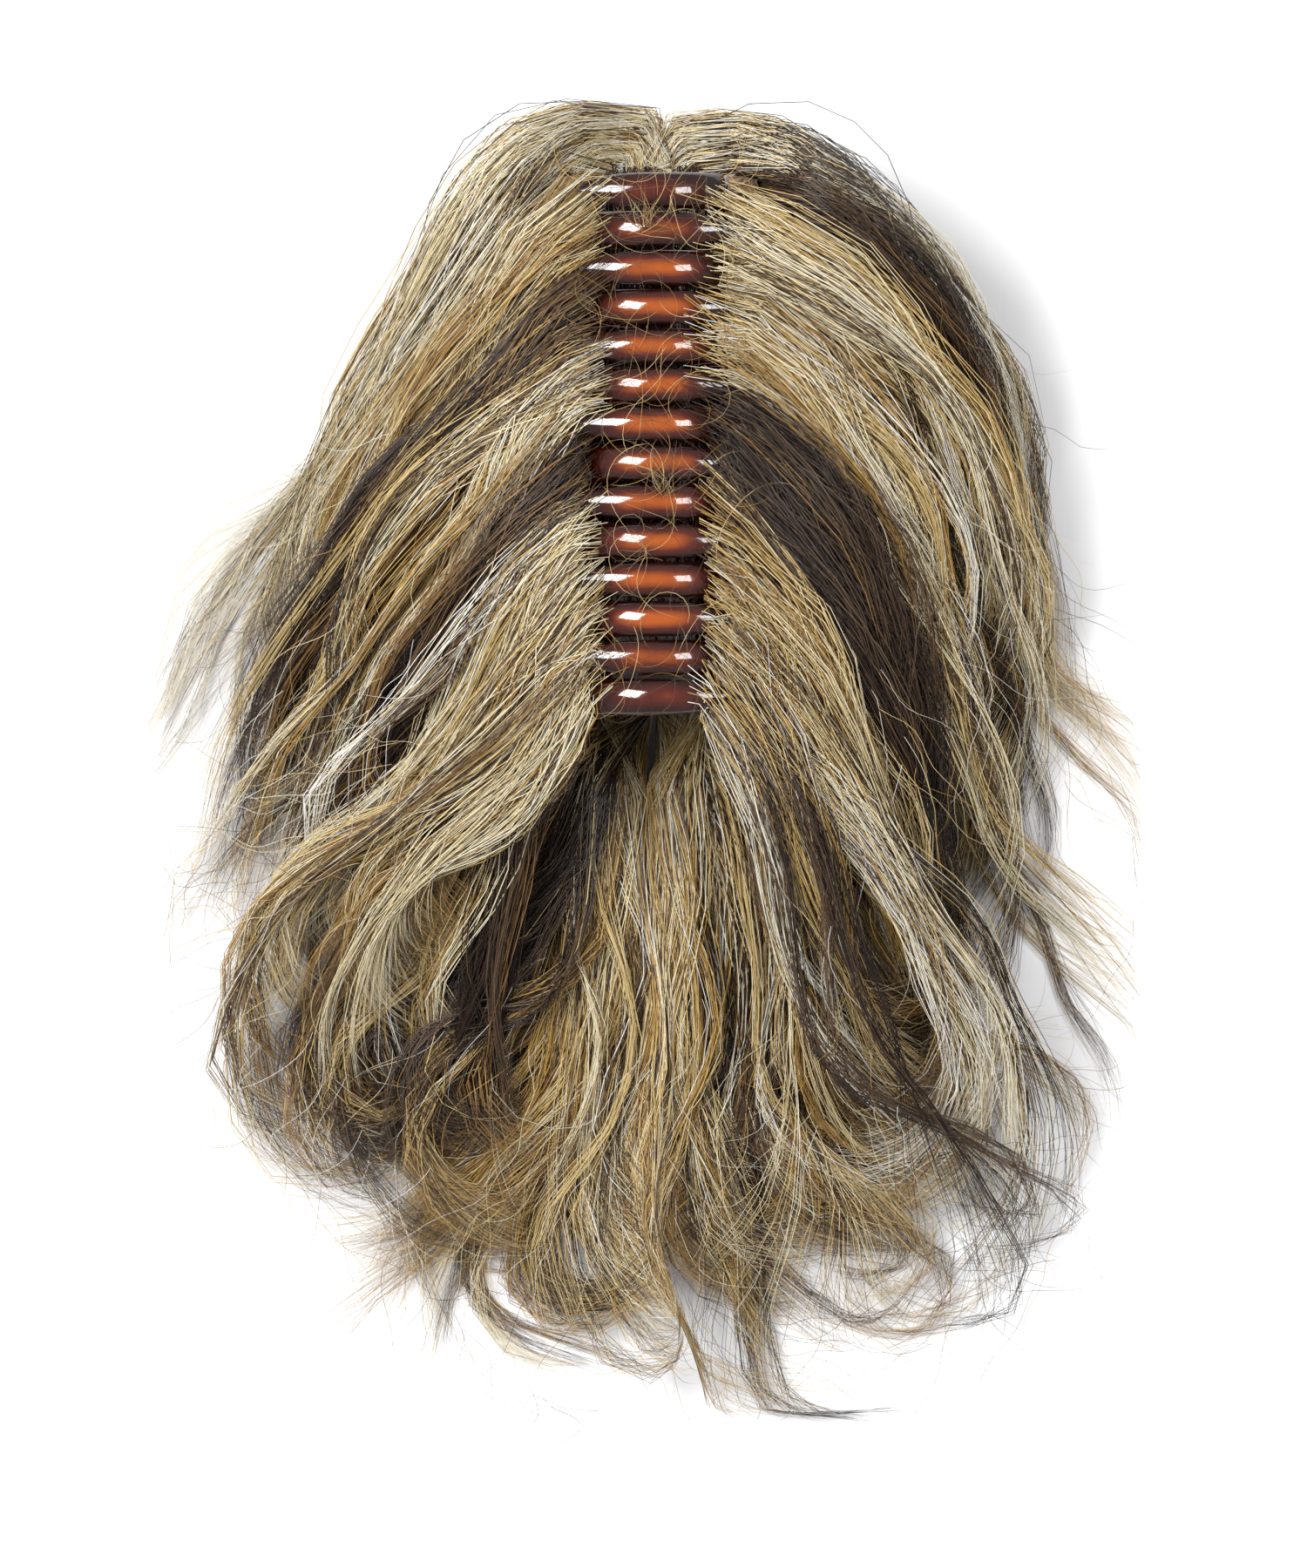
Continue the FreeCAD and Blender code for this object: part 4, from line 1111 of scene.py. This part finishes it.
def amber_plastic(settings):
    """Red-brown plastic with a painted orange glow along the middle of the teeth."""
    material, tree, shader = new_material("amber plastic")
    place = object_place(tree)
    across, along, _ = split_place(tree, place)
    mottle = noise(tree, place, 170.0)
    # A painted glow, bright along each tooth's middle line, with painted shade dark in the gaps.
    turn = 2 * math.pi / TOOTH_STEP
    phase = scalar(tree, "MULTIPLY_ADD", along, turn / MM, -turn * FIRST_TOOTH)
    painted_ridge_glow = scalar(tree, "MULTIPLY_ADD", scalar(tree, "COSINE", phase), 0.6, 0.4, clamp=True)
    # The painted glow fades towards the tooth ends and the clip's two ends, leaving deeper colour there.
    reach = scalar(tree, "MULTIPLY_ADD", mottle, 0.006, scalar(tree, "ABSOLUTE", across))
    fade = map_range(tree, reach, (0.006, 0.0135), (1.0, 0.0), interpolation_type="SMOOTHSTEP")
    gone = scalar(tree, "ABSOLUTE", scalar(tree, "SUBTRACT", along, CLIP_MIDDLE * MM))
    ends = map_range(tree, gone, (0.030, 0.044), (1.0, 0.35))
    glow = scalar(tree, "MULTIPLY", scalar(tree, "MULTIPLY", painted_ridge_glow, fade), ends)
    glow = scalar(tree, "MULTIPLY_ADD", mottle, 0.5, scalar(tree, "ADD", glow, -0.25))
    deep, red, amber = (tuple(colour) for colour in (settings.treacle, settings.mahogany, settings.amber))
    feed(tree, shader, {
        "Base Color": ramp(tree, glow, ((0.0, deep), (0.45, red), (1.0, amber))),
        "Roughness": map_range(tree, noise(tree, place, 900.0), (0.0, 1.0), (0.06, 0.14)),
        "IOR": 1.5,
        "Coat Weight": 0.5,
        "Coat Roughness": 0.03,
        "Subsurface Weight": 0.3,
        "Subsurface Radius": (1.0, 0.3, 0.08),
        "Subsurface Scale": 0.002,
    })
    return material


def wire_steel():
    """Drawn steel with fine scratches."""
    material, tree, shader = new_material("wire steel")
    inputs = {"Vector": object_place(tree), "Scale": (4000.0, 200.0, 4000.0)}
    stretched = add_node(tree, "ShaderNodeMapping", inputs).outputs["Vector"]
    scratches = noise(tree, stretched, 1.0)
    feed(tree, shader, {
        "Base Color": ramp(tree, scratches, ((0.3, (0.42, 0.42, 0.44)), (0.7, (0.62, 0.62, 0.64)))),
        "Roughness": map_range(tree, scratches, (0.0, 1.0), (0.22, 0.42)),
        "Metallic": 1.0,
    })
    return material


def woven(name, light, dark):
    """Narrow woven tape or twisted thread."""
    material, tree, shader = new_material(name)
    inputs = {"Vector": object_place(tree), "Scale": 900.0, "Distortion": 1.5}
    bands = add_node(tree, "ShaderNodeTexWave", inputs, wave_type="BANDS", bands_direction="DIAGONAL")
    weave = bands.outputs["Fac"]
    raised = add_node(tree, "ShaderNodeBump", {"Strength": 0.4, "Distance": 0.0002, "Height": weave})
    feed(tree, shader, {
        "Base Color": ramp(tree, weave, ((0.2, dark), (0.8, light))),
        "Normal": raised.outputs["Normal"],
        "Roughness": 0.85,
    })
    return material


def finish_node(node, material):
    """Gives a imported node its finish."""
    mesh = frame["nodes"][node].data
    mesh.materials.clear()
    mesh.materials.append(material)


def wound_spring(steel):
    """The spring, with one leg in each jaw and its coil between them, smoothed from its imported shape."""
    work = bmesh.new()
    work.from_mesh(frame["nodes"]["torsion_spring"].data)
    bmesh.ops.remove_doubles(work, verts=work.verts, dist=1e-7)
    for face in work.faces:
        face.smooth = True
    mesh = bpy.data.meshes.new("wound_spring")
    work.to_mesh(mesh)
    work.free()
    mesh.materials.append(steel)
    piece = bpy.data.objects.new("wound_spring", mesh)
    bpy.context.scene.collection.objects.link(piece)
    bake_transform(piece)
    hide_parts("torsion_spring")


class HAIRPIECE_OT_clip(bpy.types.Operator):
    """Finish the jaws, the hinge pin and the spring"""

    bl_idname = "hairpiece.clip"
    bl_label = "Clip"

    def execute(self, context):
        plastic = amber_plastic(context.scene.hairpiece_clip)
        for name in SIDE_NAMES.values():
            finish_node(f"jaw_{name}", plastic)
        steel = wire_steel()
        finish_node("hinge_pin", steel)
        wound_spring(steel)
        return {"FINISHED"}


def soft_piece(name, work, material, side, node):
    """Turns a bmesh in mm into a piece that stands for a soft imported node."""
    mesh = bpy.data.meshes.new(name)
    bmesh.ops.scale(work, vec=(MM, MM, MM), verts=work.verts)
    bmesh.ops.recalc_face_normals(work, faces=work.faces)
    for face in work.faces:
        face.smooth = True
    work.to_mesh(mesh)
    work.free()
    mesh.materials.append(material)
    piece = bpy.data.objects.new(name, mesh)
    bpy.context.scene.collection.objects.link(piece)
    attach(piece, f"{SIDE_NAMES[side]}_half")
    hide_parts(node)
    node_slot(node)


def gathered_tape(settings, run, lay):
    """A ribbed strip of tape of this length, laid by a function of its share across, share along and rib."""
    work = bmesh.new()
    segments = int(run / settings.gather * 6)
    bmesh.ops.create_grid(work, x_segments=5, y_segments=segments, size=0.5)
    for vertex in work.verts:
        across, along = vertex.co.x + 0.5, vertex.co.y + 0.5
        rib = RIB_HEIGHT * math.sin(2 * math.pi * along * run / settings.gather)
        vertex.co = lay(across, along, rib)
    work.normal_update()
    bmesh.ops.solidify(work, geom=work.faces, thickness=settings.tape_thickness)
    return work


def round_the_jaw(side, radius, y, turn):
    """The point at this radius and angle round the jaws' inside, this far along the clip."""
    return side * radius * math.cos(turn), y, SHELL_MIDDLE + radius * math.sin(turn)


def side_tape(settings, side, level):
    """The tape sewn round the outside of a jaw."""
    low, high = settings.upper_tape if level == "upper" else settings.lower_tape
    start, end = CLIP_MIDDLE - TAPE_REACH, CLIP_MIDDLE + TAPE_REACH

    def lay(across, along, rib):
        turn = math.radians(low + (high - low) * across)
        return round_the_jaw(side, SHELL_RADIUS + TAPE_GAP + rib, start + (end - start) * along, turn)

    return gathered_tape(settings, end - start, lay)


def end_tape(settings, side, end):
    """The tape sewn across one end of a jaw, under the way through."""

    def lay(across, along, rib):
        turn = math.radians(-82 + 70 * along)
        return round_the_jaw(side, END_TAPE_RADIUS + END_TAPE_WIDTH * across, END_TAPES[end] + rib, turn)

    return gathered_tape(settings, END_TAPE_RUN, lay)


def thread_loops(settings, side):
    """Short loops of thread over the upper tape's top edge, at every gap between teeth but the top one."""
    work = bmesh.new()
    turn = math.radians(settings.upper_tape[1])
    x = side * (SHELL_RADIUS + THREAD_RADIUS) * math.cos(turn)
    z = SHELL_MIDDLE + SHELL_RADIUS * math.sin(turn)
    for number in range(int(2 * THREAD_REACH / TOOTH_STEP)):
        centre = Vector((x, FIRST_TOOTH + TOOTH_STEP * (number + 0.5), z))
        circle = bmesh.ops.create_circle(work, cap_ends=True, segments=6, radius=THREAD_RADIUS)["verts"]
        bmesh.ops.translate(work, verts=circle, vec=centre + Vector((LOOP_RADIUS, 0, 0)))
        bmesh.ops.spin(work, geom=list(circle[0].link_faces), cent=centre, axis=(0, 1, 0),
                       dvec=(0, 0.08, 0), angle=-math.pi, steps=8)
    return work


class HAIRPIECE_OT_wefts(bpy.types.Operator):
    """Sew on the gathered wefts and their thread"""

    bl_idname = "hairpiece.wefts"
    bl_label = "Wefts"

    def execute(self, context):
        settings = context.scene.hairpiece_wefts
        tape = woven("weft tape", (0.30, 0.20, 0.11), (0.12, 0.075, 0.04))
        thread = woven("thread", (0.42, 0.30, 0.17), (0.22, 0.15, 0.08))
        for side, word in SIDE_NAMES.items():
            pieces = {
                f"upper_weft_{word}": ("tape", side_tape(settings, side, "upper"), tape),
                f"lower_weft_{word}": ("tape", side_tape(settings, side, "lower"), tape),
                f"crown_weft_{word}": ("tape", end_tape(settings, side, "crown"), tape),
                f"bottom_weft_{word}": ("tape", end_tape(settings, side, "bottom"), tape),
                f"stitching_{word}": ("thread", thread_loops(settings, side), thread),
            }
            for node, (kind, work, material) in pieces.items():
                soft_piece(f"{kind}_{node}", work, material, side, node)
        return {"FINISHED"}


# --- Stage -------------------------------------------------------------------------------------


class StageSettings(bpy.types.PropertyGroup):
    """Floor, light and camera."""

    view_height: bpy.props.FloatProperty(
        name="View height", description="Height of the picture at the object", default=0.270, unit="LENGTH")
    camera_distance: bpy.props.FloatProperty(
        name="Camera distance", description="From the floor to the camera", default=1.5, unit="LENGTH")
    softbox_power: bpy.props.FloatProperty(
        name="Softbox power", description="Power of the stronger light", default=16.5, subtype="POWER")
    surround: bpy.props.FloatProperty(
        name="Surround", description="Strength of the light from all round", default=0.46)


def add_light(name, place, size, power, aim=(0.0, 0.0, 0.0)):
    """One rectangular soft light aimed at a point."""
    light = bpy.data.lights.new(name, "AREA")
    light.shape = "RECTANGLE"
    light.size, light.size_y = size
    light.energy = power
    lamp = bpy.data.objects.new(name, light)
    lamp.location = place
    lamp.rotation_euler = (Vector(aim) - Vector(place)).to_track_quat("-Z", "Y").to_euler()
    bpy.context.scene.collection.objects.link(lamp)
    return lamp


def floor_material():
    """Plain pale paper with the faintest mottle."""
    material, tree, shader = new_material("pale floor")
    mottle = noise(tree, object_place(tree), 6.0)
    feed(tree, shader, {
        "Base Color": ramp(tree, mottle, ((0.3, (0.90, 0.90, 0.915)), (0.7, (0.92, 0.92, 0.93)))),
        "Roughness": 0.9,
        "Specular IOR Level": 0.1,
    })
    return material


class HAIRPIECE_OT_stage(bpy.types.Operator):
    """Add the floor, the lights and the camera"""

    bl_idname = "hairpiece.stage"
    bl_label = "Stage"

    def execute(self, context):
        settings = context.scene.hairpiece_stage
        mesh = bpy.data.meshes.new("floor")
        work = bmesh.new()
        bmesh.ops.create_grid(work, x_segments=1, y_segments=1, size=3.0)
        bmesh.ops.translate(work, verts=work.verts, vec=(0, 0, -0.0002))
        work.to_mesh(mesh)
        work.free()
        mesh.materials.append(floor_material())
        floor = bpy.data.objects.new("floor", mesh)
        context.scene.collection.objects.link(floor)

        add_light("left softbox", (-0.55, 0.25, 1.05), (0.5, 0.5), settings.softbox_power)
        add_light("right softbox", (0.75, 0.15, 1.0), (0.40, 0.40), settings.softbox_power * 0.4)

        world = bpy.data.worlds.new("studio")
        world.use_nodes = True
        sky = world.node_tree.nodes["Background"]
        sky.inputs["Color"].default_value = (0.97, 0.975, 1.0, 1.0)
        sky.inputs["Strength"].default_value = settings.surround
        context.scene.world = world
        context.scene.view_settings.view_transform = "Standard"

        lens = bpy.data.cameras.new("camera")
        lens.lens = lens.sensor_width * settings.camera_distance / settings.view_height
        lens.clip_end = 20.0
        camera = bpy.data.objects.new("camera", lens)
        camera.location = (0.0, -0.004, settings.camera_distance)
        context.scene.collection.objects.link(camera)
        context.scene.camera = camera
        return {"FINISHED"}


# --- Add-on ------------------------------------------------------------------------------------


class VIEW3D_PT_hairpiece(bpy.types.Panel):
    """The hairpiece's settings and steps"""

    bl_label = "Hairpiece"
    bl_idname = "VIEW3D_PT_hairpiece"
    bl_space_type = "VIEW_3D"
    bl_region_type = "UI"
    bl_category = "Hairpiece"

    def draw(self, context):
        for settings in (getattr(context.scene, name) for name in SETTINGS):
            column = self.layout.column(align=True)
            for name in settings.__annotations__:
                column.prop(settings, name)
        for operator in OPERATORS:
            self.layout.operator(operator.bl_idname)


SETTINGS = {
    "hairpiece_hair": HairSettings,
    "hairpiece_clip": ClipSettings,
    "hairpiece_wefts": WeftSettings,
    "hairpiece_stage": StageSettings,
}
OPERATORS = (
    HAIRPIECE_OT_clip,
    HAIRPIECE_OT_wefts,
    HAIRPIECE_OT_crown_hair,
    HAIRPIECE_OT_side_hair,
    HAIRPIECE_OT_bottom_hair,
    HAIRPIECE_OT_under_hair,
    HAIRPIECE_OT_stray_hairs,
    HAIRPIECE_OT_stage,
)
CLASSES = (*SETTINGS.values(), *OPERATORS, VIEW3D_PT_hairpiece)


def register():
    for cls in CLASSES:
        bpy.utils.register_class(cls)
    for name, group in SETTINGS.items():
        setattr(bpy.types.Scene, name, bpy.props.PointerProperty(type=group))


def unregister():
    for name in SETTINGS:
        delattr(bpy.types.Scene, name)
    for cls in reversed(CLASSES):
        bpy.utils.unregister_class(cls)


def main():
    """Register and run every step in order."""
    register()
    for operator in OPERATORS:
        group, name = operator.bl_idname.split(".")
        getattr(getattr(bpy.ops, group), name)()


if __name__ == "__main__":
    main()
